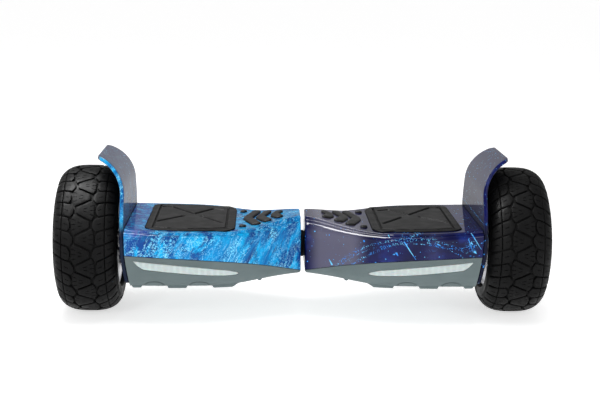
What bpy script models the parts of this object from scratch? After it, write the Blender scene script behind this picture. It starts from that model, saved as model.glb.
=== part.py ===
"""Self-balancing hoverboard with 8.5-inch all-terrain tyres, as separate named pieces.

Metres, +Z up. The origin is on the floor under the middle of the board, +X runs along the
wheel axle to the rider's right wheel, and -Y is the side with the lights. The right half is
modelled and each of its pieces is then mirrored into the left half. Heights in the section
tables are measured from the wheel axle.
"""

import math

import bmesh
import bpy
from mathutils import Matrix, Vector

# Driving dimensions
TYRE_RADIUS = 0.1055
TYRE_WIDTH = 0.092
OVERALL_LENGTH = 0.700
AXLE_Z = TYRE_RADIUS
PIVOT_Z = AXLE_Z - 0.007
MESH_GAP = 0.0003

# Deck: each half ends at its fender
DECK_OUTER_X = 0.2478
COVER_WALL = 0.0028
TRAY_WALL = 0.003
JOINT_LIP = 0.003
JOINT_GAP = 0.0008

# x, half depth and height of the deck's flat top, half depth and height of the joint
# between the covers, half depth and height of the underside
DECK_SECTIONS = (
    (0.0030, 0.0255, 0.0391, 0.0520, -0.0340, 0.0480, -0.0386),
    (0.0224, 0.0342, 0.0368, 0.0590, -0.0296, 0.0520, -0.0404),
    (0.0407, 0.0450, 0.0334, 0.0660, -0.0252, 0.0565, -0.0425),
    (0.0661, 0.0610, 0.0294, 0.0765, -0.0197, 0.0650, -0.0455),
    (0.0844, 0.0748, 0.0280, 0.0850, -0.0161, 0.0715, -0.0476),
    (0.1016, 0.0860, 0.0279, 0.0922, -0.0130, 0.0768, -0.0490),
    (0.1240, 0.0960, 0.0286, 0.0985, -0.0102, 0.0810, -0.0500),
    (0.1524, 0.1008, 0.0295, 0.1018, -0.0077, 0.0833, -0.0500),
    (0.1880, 0.1012, 0.0304, 0.1022, -0.0058, 0.0843, -0.0500),
    (0.2185, 0.0975, 0.0315, 0.1003, -0.0045, 0.0843, -0.0500),
    (DECK_OUTER_X, 0.0925, 0.0330, 0.0970, -0.0035, 0.0833, -0.0500),
)
TRAY_END_LEAN = 0.006

# Foot pad: x and half depth of its outline, and the plane of its top
PAD_OUTLINE = (
    (0.0965, 0.0660),
    (0.0995, 0.0730),
    (0.1270, 0.0838),
    (0.1570, 0.0888),
    (0.1880, 0.0888),
    (0.2155, 0.0832),
    (0.2210, 0.0775),
)
PAD_SLOPE = 0.0254
PAD_PROUD = 0.0028
PAD_TRAVEL = 0.0015
PAD_RECESS = 0.0030
PAD_SIDE_GAP = 0.0006
DECK_Z_AT_PAD = 0.0296
PAD_MID_X = 0.158
SWITCH_Y = 0.045

# Arrow marks: tip x, end x, half depth and stroke of each, then the two dots
CHEVRONS = (
    (0.0850, 0.0680, 0.0450, 0.0115),
    (0.0666, 0.0520, 0.0335, 0.0110),
    (0.0457, 0.0350, 0.0212, 0.0105),
)
DOT_X = 0.0858
DOT_Y = 0.0500
DOT_SIZE = (0.0050, 0.0040)
MARK_PROUD = 0.0026

# Fender
FENDER_INNER_X = DECK_OUTER_X + MESH_GAP
FENDER_WALL = 0.006
FENDER_ARC_START_Z = 0.0770
FENDER_ARC_RADIUS = 0.0545
FENDER_ARC_ANGLE = math.radians(73)
FENDER_ARC_STEPS = 8
# height and half depth of the upright part
FENDER_OUTLINE = (
    (-0.0495, 0.0720),
    (-0.0460, 0.0820),
    (-0.0360, 0.0895),
    (-0.0210, 0.0940),
    (-0.0050, 0.0965),
    (0.0200, 0.0985),
    (0.0330, 0.0960),
    (0.0560, 0.0905),
)
FENDER_HALF_AT_ARC = 0.0815
FENDER_HALF_AT_TIP = 0.0535
FENDER_TIP_CORNER = 0.006

# Lights in the lower cover's front face: outline in x and height
LENS_OUTLINE = (
    (0.2358, -0.0108),
    (0.2300, -0.0178),
    (0.2220, -0.0232),
    (0.1930, -0.0262),
    (0.1420, -0.0308),
    (0.1065, -0.0330),
    (0.0945, -0.0327),
    (0.0908, -0.0308),
    (0.0935, -0.0280),
    (0.1065, -0.0243),
    (0.1420, -0.0192),
    (0.1930, -0.0143),
)
LENS_WALL = 0.0024

# Skid teeth under the deck: inner x, outer x, height of the underside
SKID_TEETH = (
    (0.0900, 0.1285, -0.0530),
    (0.1610, 0.1910, -0.0530),
    (0.2240, 0.2405, -0.0525),
)
SMALL_TOOTH = (0.0570, 0.0655, -0.0468)

# Wheel
WHEEL_X = (OVERALL_LENGTH - TYRE_WIDTH) / 2
RIM_RADIUS = 0.068
RIM_SEAT_RADIUS = 0.0635
BEAD_EDGE = 0.035
AXLE_RADIUS = 0.008
MOTOR_SLOTS = 18
ROUND_STEPS = 28
TYRE_STEPS = 36
SMALL_ROUND_STEPS = 24

# Central pivot
SHAFT_RADIUS = 0.014
SHAFT_BORE = 0.009
SHAFT_HALF_LENGTH = 0.048
BUSH_WALL = 0.003

# Rear controls, in the lower covers
POWER_BUTTON_X = 0.105
CHARGE_PORT_X = -0.120
REAR_CONTROL_Z = AXLE_Z - 0.0295
CAP_LID_WALL = 0.0020
CAP_HINGE_UP = 0.0098

PARTS = "hoverboard"
CUTTERS = "cutters"


def clear_scene():
    for obj in list(bpy.data.objects):
        bpy.data.objects.remove(obj, do_unlink=True)


def add_collection(name):
    collection = bpy.data.collections.new(name)
    bpy.context.scene.collection.children.link(collection)
    return collection


def make_material(name, color, roughness, metallic=0.0):
    material = bpy.data.materials.new(name)
    material.use_nodes = True
    shader = material.node_tree.nodes["Principled BSDF"]
    shader.inputs["Base Color"].default_value = (*color, 1.0)
    shader.inputs["Roughness"].default_value = roughness
    shader.inputs["Metallic"].default_value = metallic
    return material


def add_mesh_object(name, mesh, location=(0, 0, 0), rotation=(0, 0, 0)):
    obj = bpy.data.objects.new(name, mesh)
    obj.location = location
    obj.rotation_euler = rotation
    parts.objects.link(obj)
    return obj


def as_cutter(obj):
    """Hides a helper solid and files it with the cutters."""
    parts.objects.unlink(obj)
    cutters.objects.link(obj)
    obj.hide_render = True
    obj.display_type = "WIRE"
    return obj


def apply_boolean(obj, other, operation):
    modifier = obj.modifiers.new(operation.title(), "BOOLEAN")
    modifier.operation = operation
    modifier.object = as_cutter(other)
    modifier.solver = "EXACT"
    return modifier


def cut(obj, *others):
    for other in others:
        apply_boolean(obj, other, "DIFFERENCE")


def join(obj, *others):
    for other in others:
        apply_boolean(obj, other, "UNION")


def add_box(name, low, high, bevel=0.0):
    """A box between two corners given in world coordinates."""
    size = Vector(high) - Vector(low)
    shape = bmesh.new()
    bmesh.ops.create_cube(shape, size=1.0)
    bmesh.ops.scale(shape, vec=size, verts=shape.verts)
    mesh = bpy.data.meshes.new(name)
    shape.to_mesh(mesh)
    shape.free()
    obj = add_mesh_object(name, mesh, (Vector(low) + Vector(high)) / 2)
    if bevel:
        rounding = obj.modifiers.new("Rounding", "BEVEL")
        rounding.width = bevel
        rounding.segments = 2
    return obj


def add_cylinder(name, start, end, radius, segments=24):
    """A cylinder between two points."""
    axis = Vector(end) - Vector(start)
    shape = bmesh.new()
    bmesh.ops.create_cone(
        shape, cap_ends=True, segments=segments, radius1=radius, radius2=radius, depth=axis.length
    )
    mesh = bpy.data.meshes.new(name)
    shape.to_mesh(mesh)
    shape.free()
    obj = add_mesh_object(name, mesh, (Vector(start) + Vector(end)) / 2)
    obj.rotation_euler = axis.to_track_quat("Z", "Y").to_euler()
    return obj


def add_turned(name, profile, x=0.0, z=AXLE_Z, steps=ROUND_STEPS):
    """A piece turned about the X axis. The profile is (radius, distance along +X) points, a
    closed loop that runs down its outer side."""
    mesh = bpy.data.meshes.new(name)
    points = [(radius, 0.0, along) for radius, along in profile]
    edges = [(i, (i + 1) % len(points)) for i in range(len(points))]
    mesh.from_pydata(points, edges, [])
    obj = add_mesh_object(name, mesh, (x, 0.0, z), (0.0, math.pi / 2, 0.0))
    turn = obj.modifiers.new("Turn", "SCREW")
    turn.axis = "Z"
    turn.angle = math.tau
    turn.steps = steps
    turn.render_steps = steps
    turn.use_merge_vertices = True
    turn.merge_threshold = 0.00001
    return obj


def ring_profile(inner, outer, low, high):
    return [(outer, high), (outer, low), (inner, low), (inner, high)]


def add_outline(name, points, thickness, location=(0, 0, 0), rotation=(0, 0, 0)):
    """A flat outline in its local XY plane, thick to both sides of it, made a mesh."""
    curve = bpy.data.curves.new(name, "CURVE")
    curve.dimensions = "2D"
    curve.fill_mode = "BOTH"
    curve.extrude = thickness / 2
    spline = curve.splines.new("POLY")
    spline.points.add(len(points) - 1)
    for point, (u, v) in zip(spline.points, points):
        point.co = (u, v, 0.0, 1.0)
    spline.use_cyclic_u = True
    return add_mesh_object(name, mesh_of_curve(curve), location, rotation)


def mesh_of_curve(curve):
    """The curve's solid as a mesh, with its caps welded on."""
    holder = bpy.data.objects.new(curve.name, curve)
    parts.objects.link(holder)
    graph = bpy.context.evaluated_depsgraph_get()
    mesh = bpy.data.meshes.new_from_object(holder.evaluated_get(graph))
    bpy.data.objects.remove(holder)
    shape = bmesh.new()
    shape.from_mesh(mesh)
    bmesh.ops.remove_doubles(shape, verts=shape.verts, dist=0.000001)
    bmesh.ops.recalc_face_normals(shape, faces=shape.faces)
    shape.to_mesh(mesh)
    shape.free()
    mesh.materials.clear()
    return mesh


def add_cable(name, route, radius):
    curve = bpy.data.curves.new(name, "CURVE")
    curve.dimensions = "3D"
    curve.bevel_depth = radius
    curve.bevel_resolution = 2
    curve.use_fill_caps = True
    spline = curve.splines.new("POLY")
    spline.points.add(len(route) - 1)
    for point, place in zip(spline.points, route):
        point.co = (*place, 1.0)
    return add_mesh_object(name, mesh_of_curve(curve))


def smooth_route(corners, samples=4):
    """Points on one smooth curve through the corners (Catmull-Rom)."""
    ends = [corners[0], *corners, corners[-1]]
    route = []
    for a, b, c, d in zip(ends, ends[1:], ends[2:], ends[3:]):
        a, b, c, d = Vector(a), Vector(b), Vector(c), Vector(d)
        for step in range(samples):
            t = step / samples
            route.append(
                b
                + (c - a) * (t / 2)
                + (2 * a - 5 * b + 4 * c - d) * (t * t / 2)
                + (3 * b - a - 3 * c + d) * (t**3 / 2)
            )
    return [*route, Vector(corners[-1])]


def add_surface(name, rows, wall, cap_first=False):
    """An open surface through rows of points, thickened inwards. The first row may be closed
    by an end wall."""
    width = len(rows[0])
    points = [point for row in rows for point in row]
    faces = []
    for i in range(len(rows) - 1):
        for j in range(width - 1):
            low = i * width + j
            faces.append((low, low + 1, low + width + 1, low + width))
    if cap_first:
        faces.append(tuple(reversed(range(width))))
    mesh = bpy.data.meshes.new(name)
    mesh.from_pydata(points, [], faces)
    obj = add_mesh_object(name, mesh)
    thicken = obj.modifiers.new("Wall", "SOLIDIFY")
    thicken.thickness = wall
    thicken.offset = -1.0
    thicken.use_even_offset = True
    return obj


def deck_value(x, column):
    """A value of the section table at x, straight between its rows."""
    for low, high in zip(DECK_SECTIONS, DECK_SECTIONS[1:]):
        if x <= high[0]:
            share = (x - low[0]) / (high[0] - low[0])
            return low[column] + share * (high[column] - low[column])
    return DECK_SECTIONS[-1][column]


def tray_end_x(height):
    """The deck's outer end leans inwards below the joint between the covers."""
    joint, bottom = DECK_SECTIONS[-1][4], DECK_SECTIONS[-1][6]
    share = max(0.0, (joint - height) / (joint - bottom))
    return DECK_OUTER_X - TRAY_END_LEAN * share


def both_sides(half):
    """The half section from the middle to the front edge, as one row from back to front."""
    back = [(-y, z) for y, z in reversed(half) if y < 0]
    return [*back, *half]


def top_half_section(section):
    _, flat, top, joint, joint_z = section[:5]
    return [
        (0.0, top),
        (-flat, top),
        (-flat - 0.0006, top - 0.0025),
        (-flat - 0.0048, top - 0.0032),
        (-flat - 0.0072, top - 0.0048),
        (-flat - 0.0084, top - 0.0090),
        (-joint, joint_z + JOINT_LIP),
        (-joint, joint_z),
    ]


def tray_half_section(section):
    _, _, _, joint, joint_z, bottom, bottom_z = section
    drop = joint_z - JOINT_GAP - bottom_z
    lean = joint - bottom
    return [
        (0.0, bottom_z),
        (-bottom + 0.002, bottom_z),
        (-bottom - 0.25 * lean, bottom_z + 0.10 * drop),
        (-bottom - 0.60 * lean, bottom_z + 0.30 * drop),
        (-bottom - 0.88 * lean, bottom_z + 0.60 * drop),
        (-joint, bottom_z + drop - min(JOINT_LIP, 0.3 * drop)),
        (-joint, bottom_z + drop),
    ]


def pad_outline(grow=0.0):
    """The foot pad's outline, grown outwards by a margin."""
    mid = (PAD_OUTLINE[0][0] + PAD_OUTLINE[-1][0]) / 2
    front = [(x + math.copysign(grow, x - mid), -y - grow) for x, y in PAD_OUTLINE]
    back = [(x, -y) for x, y in reversed(front)]
    return [*front, *back]


def pad_slab(name, grow, low, high):
    """A slab with the pad's outline between two heights over the deck's top, tilted with it."""
    tilt = math.atan(PAD_SLOPE)
    turn = Matrix.Rotation(-tilt, 4, "Y")
    centre = Vector((PAD_MID_X, 0.0, AXLE_Z + DECK_Z_AT_PAD + (low + high) / 2))
    outline = [(x - PAD_MID_X, y) for x, y in pad_outline(grow)]
    return add_outline(name, outline, high - low, centre, turn.to_euler())


def chevron_outline(tip, end, half, stroke, grow=0.0):
    """An arrow mark that points outboard, with blunt ends."""
    g = grow
    return [
        (tip + g, -0.0060),
        (end + stroke * 0.35 + g, -half - g),
        (end - stroke * 0.45 - g, -half - g),
        (end - stroke * 0.65 - g, -half + 0.006),
        (tip - stroke - g, 0.0),
        (end - stroke * 0.65 - g, half - 0.006),
        (end - stroke * 0.45 - g, half + g),
        (end + stroke * 0.35 + g, half + g),
        (tip + g, 0.0060),
    ]


def dot_outline(side, grow=0.0):
    points = []
    for i in range(12):
        angle = math.tau * i / 12
        x = DOT_X + (DOT_SIZE[0] + grow) * math.cos(angle)
        y = side * DOT_Y + (DOT_SIZE[1] + grow) * math.sin(angle)
        points.append((x, y))
    return points


def mark_prisms(prefix, grow):
    """Upright prisms of all the arrow marks, through the deck's top."""
    outlines = [chevron_outline(*mark, grow) for mark in CHEVRONS]
    outlines += [dot_outline(side, grow) for side in (-1, 1)]
    return [
        add_outline(f"{prefix}_{i}", outline, 0.040, (0, 0, AXLE_Z + 0.032))
        for i, outline in enumerate(outlines)
    ]


def deck_slab(name, x_low, x_high, half, low, high):
    """A strip that follows the deck's top between two offsets from it."""
    breaks = [row[0] for row in DECK_SECTIONS if x_low < row[0] < x_high]
    rim = []
    for x in (x_low, *breaks, x_high):
        rim.append((x, AXLE_Z + deck_value(x, 2)))
    outline = [(x, z + low) for x, z in rim] + [(x, z + high) for x, z in reversed(rim)]
    return add_outline(name, outline, 2 * half, (0, 0, 0), (math.pi / 2, 0, 0))


def add_top_cover():
    rows = []
    for section in DECK_SECTIONS:
        half = top_half_section(section)
        rows.append([(section[0], y, z + AXLE_Z) for y, z in both_sides(half)])
    cover = add_surface("right_top_cover", rows, COVER_WALL, cap_first=True)
    join(cover, pad_slab("pad_tray", 0.004, -PAD_RECESS - 0.0025, -0.0012))
    cut(cover, pad_slab("pad_recess", PAD_SIDE_GAP, -PAD_RECESS, 0.010))
    for side in (-1, 1):
        y = side * SWITCH_Y
        low = (PAD_MID_X - 0.0125, y - 0.0065, AXLE_Z)
        high = (PAD_MID_X + 0.0125, y + 0.0065, AXLE_Z + 0.040)
        cut(cover, add_box("switch_window", low, high))
    cut(cover, *mark_prisms("mark_hole", 0.0005))
    opening = ((-0.010, 0, PIVOT_Z), (0.010, 0, PIVOT_Z), SHAFT_RADIUS + 0.0075)
    cut(cover, add_cylinder("pivot_opening", *opening, 32))
    return cover


def add_bottom_cover():
    rows = []
    for section in DECK_SECTIONS:
        half = tray_half_section(section)
        last = section is DECK_SECTIONS[-1]
        row = []
        for y, z in reversed(both_sides(half)):
            row.append((tray_end_x(z) if last else section[0], y, z + AXLE_Z))
        rows.append(row)
    cover = add_surface("right_bottom_cover", rows, TRAY_WALL, cap_first=True)
    for i, (low_x, high_x, floor) in enumerate((SMALL_TOOTH, *SKID_TEETH)):
        half = deck_value((low_x + high_x) / 2, 5) + 0.0015
        top = AXLE_Z + deck_value((low_x + high_x) / 2, 6) + 0.0012
        slope = 0.0090 if i == 1 else 0.0025
        outline = [
            (low_x, top),
            (low_x + slope, AXLE_Z + floor),
            (high_x - 0.0025, AXLE_Z + floor),
            (high_x, top),
        ]
        place = ((0, 0, 0), (math.pi / 2, 0, 0))
        tooth = add_outline(f"skid_tooth_{i}", outline, 2 * half, *place)
        join(cover, tooth)
    window = [(x, z + AXLE_Z) for x, z in LENS_OUTLINE]
    cut(cover, lens_prism("lens_window", window, 0.0))
    opening = ((-0.010, 0, PIVOT_Z), (0.010, 0, PIVOT_Z), SHAFT_RADIUS + 0.0075)
    cut(cover, add_cylinder("pivot_opening", *opening, 32))
    return cover


def lens_prism(name, outline, shrink):
    """The lens outline drawn through the front of the deck, pulled in by a margin."""
    centre_x = sum(x for x, _ in outline) / len(outline)
    centre_z = sum(z for _, z in outline) / len(outline)
    points = []
    for x, z in outline:
        direction = Vector((x - centre_x, 4 * (z - centre_z)))
        direction.normalize()
        points.append((x - shrink * direction.x, z - shrink * direction.y))
    return add_outline(name, points, 0.060, (0, -0.095, 0), (math.pi / 2, 0, 0))


def add_light_lens():
    """The translucent light cover: a piece of the lower cover's front wall."""
    rows = []
    for section in DECK_SECTIONS[4:]:
        half = [p for p in tray_half_section(section) if p[0] < -0.001][1:]
        rows.append([(section[0], y, z + AXLE_Z) for y, z in reversed(half)])
    lens = add_surface("right_light_lens", rows, LENS_WALL)
    outline = [(x, z + AXLE_Z) for x, z in LENS_OUTLINE]
    shape = lens_prism("lens_shape", outline, 0.0005)
    apply_boolean(lens, shape, "INTERSECT")
    return lens


def fender_rows():
    """The fender's inner face, from its lower edge to its tip: x, height, half depth."""
    rows = [(tray_end_x(z) + MESH_GAP, z, half) for z, half in FENDER_OUTLINE]
    for step in range(FENDER_ARC_STEPS + 1):
        share = step / FENDER_ARC_STEPS
        angle = FENDER_ARC_ANGLE * share
        x = FENDER_INNER_X + FENDER_ARC_RADIUS * (1 - math.cos(angle))
        z = FENDER_ARC_START_Z + FENDER_ARC_RADIUS * math.sin(angle)
        half = FENDER_HALF_AT_ARC + share * (FENDER_HALF_AT_TIP - FENDER_HALF_AT_ARC)
        rows.append((x, z, half))
    x, z, half = rows[-1]
    rows[-1] = (x, z, half - FENDER_TIP_CORNER)
    return rows


def add_fender():
    rows = []
    for x, z, half in fender_rows():
        row = [(x, half * share, z + AXLE_Z) for share in (1.0, 0.5, 0.0, -0.5, -1.0)]
        rows.append(row)
    fender = add_surface("right_fender", rows, FENDER_WALL)
    hole = ((0.230, 0, AXLE_Z), (0.270, 0, AXLE_Z), AXLE_RADIUS + 0.004)
    cut(fender, add_cylinder("axle_opening", *hole))
    return fender


def add_foot_pad():
    pad = pad_slab("right_foot_pad", 0.0, -PAD_RECESS + PAD_TRAVEL + MESH_GAP, PAD_PROUD)
    for side in (-1, 1):
        y = side * SWITCH_Y
        low = (PAD_MID_X - 0.010, y - 0.004, AXLE_Z + 0.0175)
        high = (PAD_MID_X + 0.010, y + 0.004, AXLE_Z + DECK_Z_AT_PAD + 0.001)
        join(pad, add_box("pad_post", low, high))
    return pad


def add_arrow_pad():
    """Rubber sheet under the deck's top, with its arrow marks standing through the top."""
    below = -COVER_WALL - 2 * MESH_GAP
    pad = deck_slab("right_arrow_pad", 0.024, 0.0915, 0.054, below - 0.0015, below)
    for side in (-1, 1):
        corners = [(0.020, side * 0.026), (0.020, side * 0.060), (0.082, side * 0.060)]
        cut(pad, add_outline("arrow_pad_trim", corners, 0.100, (0, 0, AXLE_Z + 0.030)))
    for prism in mark_prisms("mark", 0.0):
        skin = deck_slab("mark_height", 0.020, 0.0985, 0.060, below - 0.0008, MARK_PROUD)
        apply_boolean(prism, skin, "INTERSECT")
        join(pad, prism)
    return pad


def frame_outline():
    front = [(0.008, -0.036), (0.060, -0.052), (0.100, -0.064), (0.236, -0.064)]
    return [*front, *[(x, -y) for x, y in reversed(front)]]


def add_frame(name, boss_bore):
    """One half of the cast chassis: floor, rails, pivot boss and axle saddle."""
    floor_low, floor_high = AXLE_Z - 0.0345, AXLE_Z - 0.0310
    floor_z = (floor_low + floor_high) / 2
    frame = add_outline(name, frame_outline(), floor_high - floor_low, (0, 0, floor_z))
    base = floor_high - 0.001
    for side in (-1, 1):
        y = sorted((side * 0.0605, side * 0.0635))
        join(frame, add_box("rail", (0.102, y[0], base), (0.235, y[1], AXLE_Z + 0.006)))
    join(frame, add_box("outer_flange", (0.2320, -0.0630, base), (0.2355, 0.0630, AXLE_Z + 0.011)))
    join(frame, add_box("axle_saddle", (0.2050, -0.024, base), (0.2325, 0.024, AXLE_Z - 0.0003)))
    join(frame, add_box("pivot_flange", (0.0085, -0.0240, base), (0.0125, 0.0240, AXLE_Z + 0.016)))
    boss = ((0.009, 0, PIVOT_Z), (0.045, 0, PIVOT_Z))
    join(frame, add_cylinder("pivot_boss", *boss, 0.021, 32))
    join(frame, add_box("boss_web", (0.0115, -0.002, base), (0.0440, 0.002, PIVOT_Z - 0.015)))
    bore = ((0.000, 0, PIVOT_Z), (0.060, 0, PIVOT_Z))
    cut(frame, add_cylinder("boss_bore", *bore, boss_bore, 32))
    seat = ((0.190, 0, AXLE_Z), (0.245, 0, AXLE_Z), AXLE_RADIUS + MESH_GAP)
    cut(frame, add_cylinder("axle_seat", *seat))
    return frame


def add_axle_clamp():
    clamp = add_box(
        "right_axle_clamp",
        (0.2065, -0.0235, AXLE_Z + 0.0003),
        (0.2310, 0.0235, AXLE_Z + 0.0150),
    )
    seat = ((0.190, 0, AXLE_Z), (0.245, 0, AXLE_Z), AXLE_RADIUS + MESH_GAP)
    cut(clamp, add_cylinder("clamp_seat", *seat))
    return clamp


def add_clamp_screw(name, side):
    """A cap screw whose head sits on the clamp."""
    x, y = 0.21875, side * 0.0165
    head_z = AXLE_Z + 0.0150 + MESH_GAP
    start, end = (x, y, head_z), (x, y, head_z + 0.006)
    screw = add_cylinder(name, start, end, 0.005, 16)
    socket = ((x, y, head_z + 0.003), (x, y, head_z + 0.010))
    cut(screw, add_cylinder("socket", *socket, 0.0025, 6))
    return screw


def add_sensor_board():
    """Tilt sensor board with its two foot switches."""
    low, high = AXLE_Z + 0.0063, AXLE_Z + 0.0079
    board = add_box("right_sensor_board", (0.132, -0.0625, low), (0.182, 0.0625, high))
    for side in (-1, 1):
        y = side * SWITCH_Y
        corner = (PAD_MID_X - 0.008, y - 0.005, high - 0.0005)
        join(board, add_box("foot_switch", corner, (PAD_MID_X + 0.008, y + 0.005, high + 0.006)))
    return board


def add_light_board():
    low = (0.1050, -0.0800, AXLE_Z - 0.0300)
    high = (0.2150, -0.0784, AXLE_Z - 0.0180)
    board = add_box("right_light_board", low, high)
    for i in range(8):
        x = 0.112 + 0.0137 * i
        corner = (x, -0.0815, AXLE_Z - 0.0258)
        join(board, add_box("led", corner, (x + 0.005, -0.0795, AXLE_Z - 0.0208)))
    return board


def add_axle():
    profile = [
        (0.0, 0.3360),
        (0.0070, 0.3360),
        (AXLE_RADIUS, 0.3350),
        (AXLE_RADIUS, 0.1980),
        (0.0, 0.1980),
    ]
    axle = add_turned("right_axle", profile, steps=24)
    return axle


def tyre_profile():
    """A round-shouldered carcass, open towards the rim."""
    half = TYRE_WIDTH / 2
    outer = [
        (TYRE_RADIUS - 0.0018, half - 0.0240),
        (TYRE_RADIUS - 0.0078, half - 0.0115),
        (TYRE_RADIUS - 0.0180, half - 0.0030),
        (TYRE_RADIUS - 0.0300, half),
        (RIM_RADIUS + 0.0030, half - 0.0060),
        (RIM_RADIUS + 0.0005, BEAD_EDGE),
    ]
    inner = [
        (0.0760, half - 0.0160),
        (TYRE_RADIUS - 0.0200, half - 0.0150),
        (TYRE_RADIUS - 0.0130, half - 0.0290),
    ]
    seat = RIM_SEAT_RADIUS + 0.0005
    bead = [(seat, BEAD_EDGE), (seat, BEAD_EDGE - 0.0075)]
    low_outer = [(r, -x) for r, x in outer]
    low_inner = [(r, -x) for r, x in inner]
    low_bead = [(r, -x) for r, x in bead]
    return [
        *reversed(outer),
        (TYRE_RADIUS, 0.0),
        *low_outer,
        *low_bead,
        *low_inner,
        *reversed(inner),
        *reversed(bead),
    ]


def add_wheel():
    """The hub motor and its tyre, turned about the axle."""
    x = WHEEL_X
    tyre = add_turned("right_tyre", tyre_profile(), x, steps=TYRE_STEPS)
    rim = ring_profile(0.0590, RIM_SEAT_RADIUS, -0.0346, 0.0346)
    rotor = add_turned("right_motor_rotor", rim, x)
    magnets = add_turned("right_magnet_ring", ring_profile(0.0550, 0.0587, -0.018, 0.018), x)
    covers = []
    for name, side in (("right_hub_outer_cover", 1), ("right_hub_inner_cover", -1)):
        cover = [
            (RIM_RADIUS, 0.0380),
            (RIM_RADIUS, 0.0355),
            (0.0200, 0.0355),
            (0.0200, 0.0240),
            (0.0153, 0.0240),
            (0.0153, 0.0330),
            (0.0090, 0.0330),
            (0.0090, 0.0385),
            (0.0560, 0.0400),
        ]
        if side < 0:
            cover = [(r, -along) for r, along in reversed(cover)]
        covers.append(add_turned(name, cover, x))
    bearings = []
    for name, side in (("right_outer_bearing", 1), ("right_inner_bearing", -1)):
        low, high = sorted((side * 0.0245, side * 0.0325))
        profile = ring_profile(AXLE_RADIUS + MESH_GAP, 0.0150, low, high)
        bearings.append(add_turned(name, profile, x, steps=SMALL_ROUND_STEPS))
    pieces = [tyre, rotor, magnets, add_stator(x), add_valve_stem(x)]
    return [*pieces, *covers, *bearings]


def add_stator(x):
    """Laminated core with its teeth, seen end on as one outline."""
    points = []
    for slot in range(MOTOR_SLOTS):
        middle = math.tau * slot / MOTOR_SLOTS
        pitch = math.tau / MOTOR_SLOTS
        for share, radius in (
            (-0.44, 0.0510),
            (-0.42, 0.0540),
            (0.42, 0.0540),
            (0.44, 0.0510),
            (0.20, 0.0500),
            (0.24, 0.0360),
        ):
            angle = middle + share * pitch
            points.append((radius * math.cos(angle), radius * math.sin(angle)))
        angle = middle + 0.76 * pitch
        points.append((0.0360 * math.cos(angle), 0.0360 * math.sin(angle)))
        angle = middle + 0.80 * pitch
        points.append((0.0500 * math.cos(angle), 0.0500 * math.sin(angle)))
    rotation = (math.pi / 2, 0.0, math.pi / 2)
    stator = add_outline("right_motor_stator", points, 0.034, (x, 0, AXLE_Z), rotation)
    bore = ((x - 0.03, 0, AXLE_Z), (x + 0.03, 0, AXLE_Z), AXLE_RADIUS + MESH_GAP)
    cut(stator, add_cylinder("stator_bore", *bore))
    return stator


def add_valve_stem(x):
    """Tyre valve and its cap, at the edge of the hub's outer cover."""
    profile = [
        (0.0, 0.0050),
        (0.0026, 0.0050),
        (0.0026, 0.0016),
        (0.0034, 0.0012),
        (0.0034, 0.0000),
        (0.0, 0.0000),
    ]
    place = (x + 0.0403, AXLE_Z + 0.0600)
    return add_turned("right_valve_stem", profile, *place, steps=12)


def mirror_to_left(source):
    """The left-hand twin of a finished right-hand piece."""
    bpy.context.view_layer.update()
    graph = bpy.context.evaluated_depsgraph_get()
    mesh = bpy.data.meshes.new_from_object(source.evaluated_get(graph))
    turn = source.matrix_world.copy()
    place = turn.to_translation()
    turn.translation = (0, 0, 0)
    mesh.transform(Matrix.Scale(-1, 4, (1, 0, 0)) @ turn)
    mesh.flip_normals()
    name = source.name.replace("right_", "left_")
    return add_mesh_object(name, mesh, (-place.x, place.y, place.z))


def add_pivot():
    """Hollow shaft held in the left frame; the right frame turns on it."""
    half = SHAFT_HALF_LENGTH
    shaft = ring_profile(SHAFT_BORE, SHAFT_RADIUS, -half, half)
    add_turned("pivot_shaft", shaft, 0.0, PIVOT_Z, SMALL_ROUND_STEPS)
    bush = ring_profile(SHAFT_RADIUS + MESH_GAP, SHAFT_RADIUS + BUSH_WALL, 0.0105, 0.0255)
    add_turned("pivot_bush_inner", bush, 0.0, PIVOT_Z, SMALL_ROUND_STEPS)
    bush = ring_profile(SHAFT_RADIUS + MESH_GAP, SHAFT_RADIUS + BUSH_WALL, 0.0285, 0.0435)
    add_turned("pivot_bush_outer", bush, 0.0, PIVOT_Z, SMALL_ROUND_STEPS)
    clip = ring_profile(SHAFT_RADIUS + MESH_GAP, SHAFT_RADIUS + 0.0040, 0.0455, 0.0470)
    add_turned("pivot_retaining_ring", clip, 0.0, PIVOT_Z, SMALL_ROUND_STEPS)
    seal = ring_profile(SHAFT_RADIUS + MESH_GAP, 0.0195, -0.0080, 0.0078)
    add_turned("pivot_dust_seal", seal, 0.0, PIVOT_Z, ROUND_STEPS)


def add_electronics():
    low = (-0.186, -0.036, AXLE_Z - 0.0307)
    high = (-0.061, 0.036, AXLE_Z + 0.0050)
    add_box("battery_pack", low, high, 0.006)
    low_z = AXLE_Z - 0.0220
    board = add_box("control_board", (0.062, -0.046, low_z), (0.182, 0.046, low_z + 0.0016))
    top = low_z + 0.0010
    for y in (-0.028, -0.010, 0.026):
        capacitor = ((0.168, y, top), (0.168, y, top + 0.020))
        join(board, add_cylinder("capacitor", *capacitor, 0.0060, 16))
    join(board, add_box("heat_spreader", (0.090, -0.040, top), (0.140, 0.020, top + 0.008)))
    join(board, add_box("connector", (0.066, -0.012, top), (0.078, 0.012, top + 0.008)))
    return board


def add_board_posts(frame):
    """Standoffs of the control board."""
    for x in (0.070, 0.174):
        for y in (-0.038, 0.038):
            post = ((x, y, AXLE_Z - 0.0330), (x, y, AXLE_Z - 0.0223))
            join(frame, add_cylinder("board_post", *post, 0.0035, 12))


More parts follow.
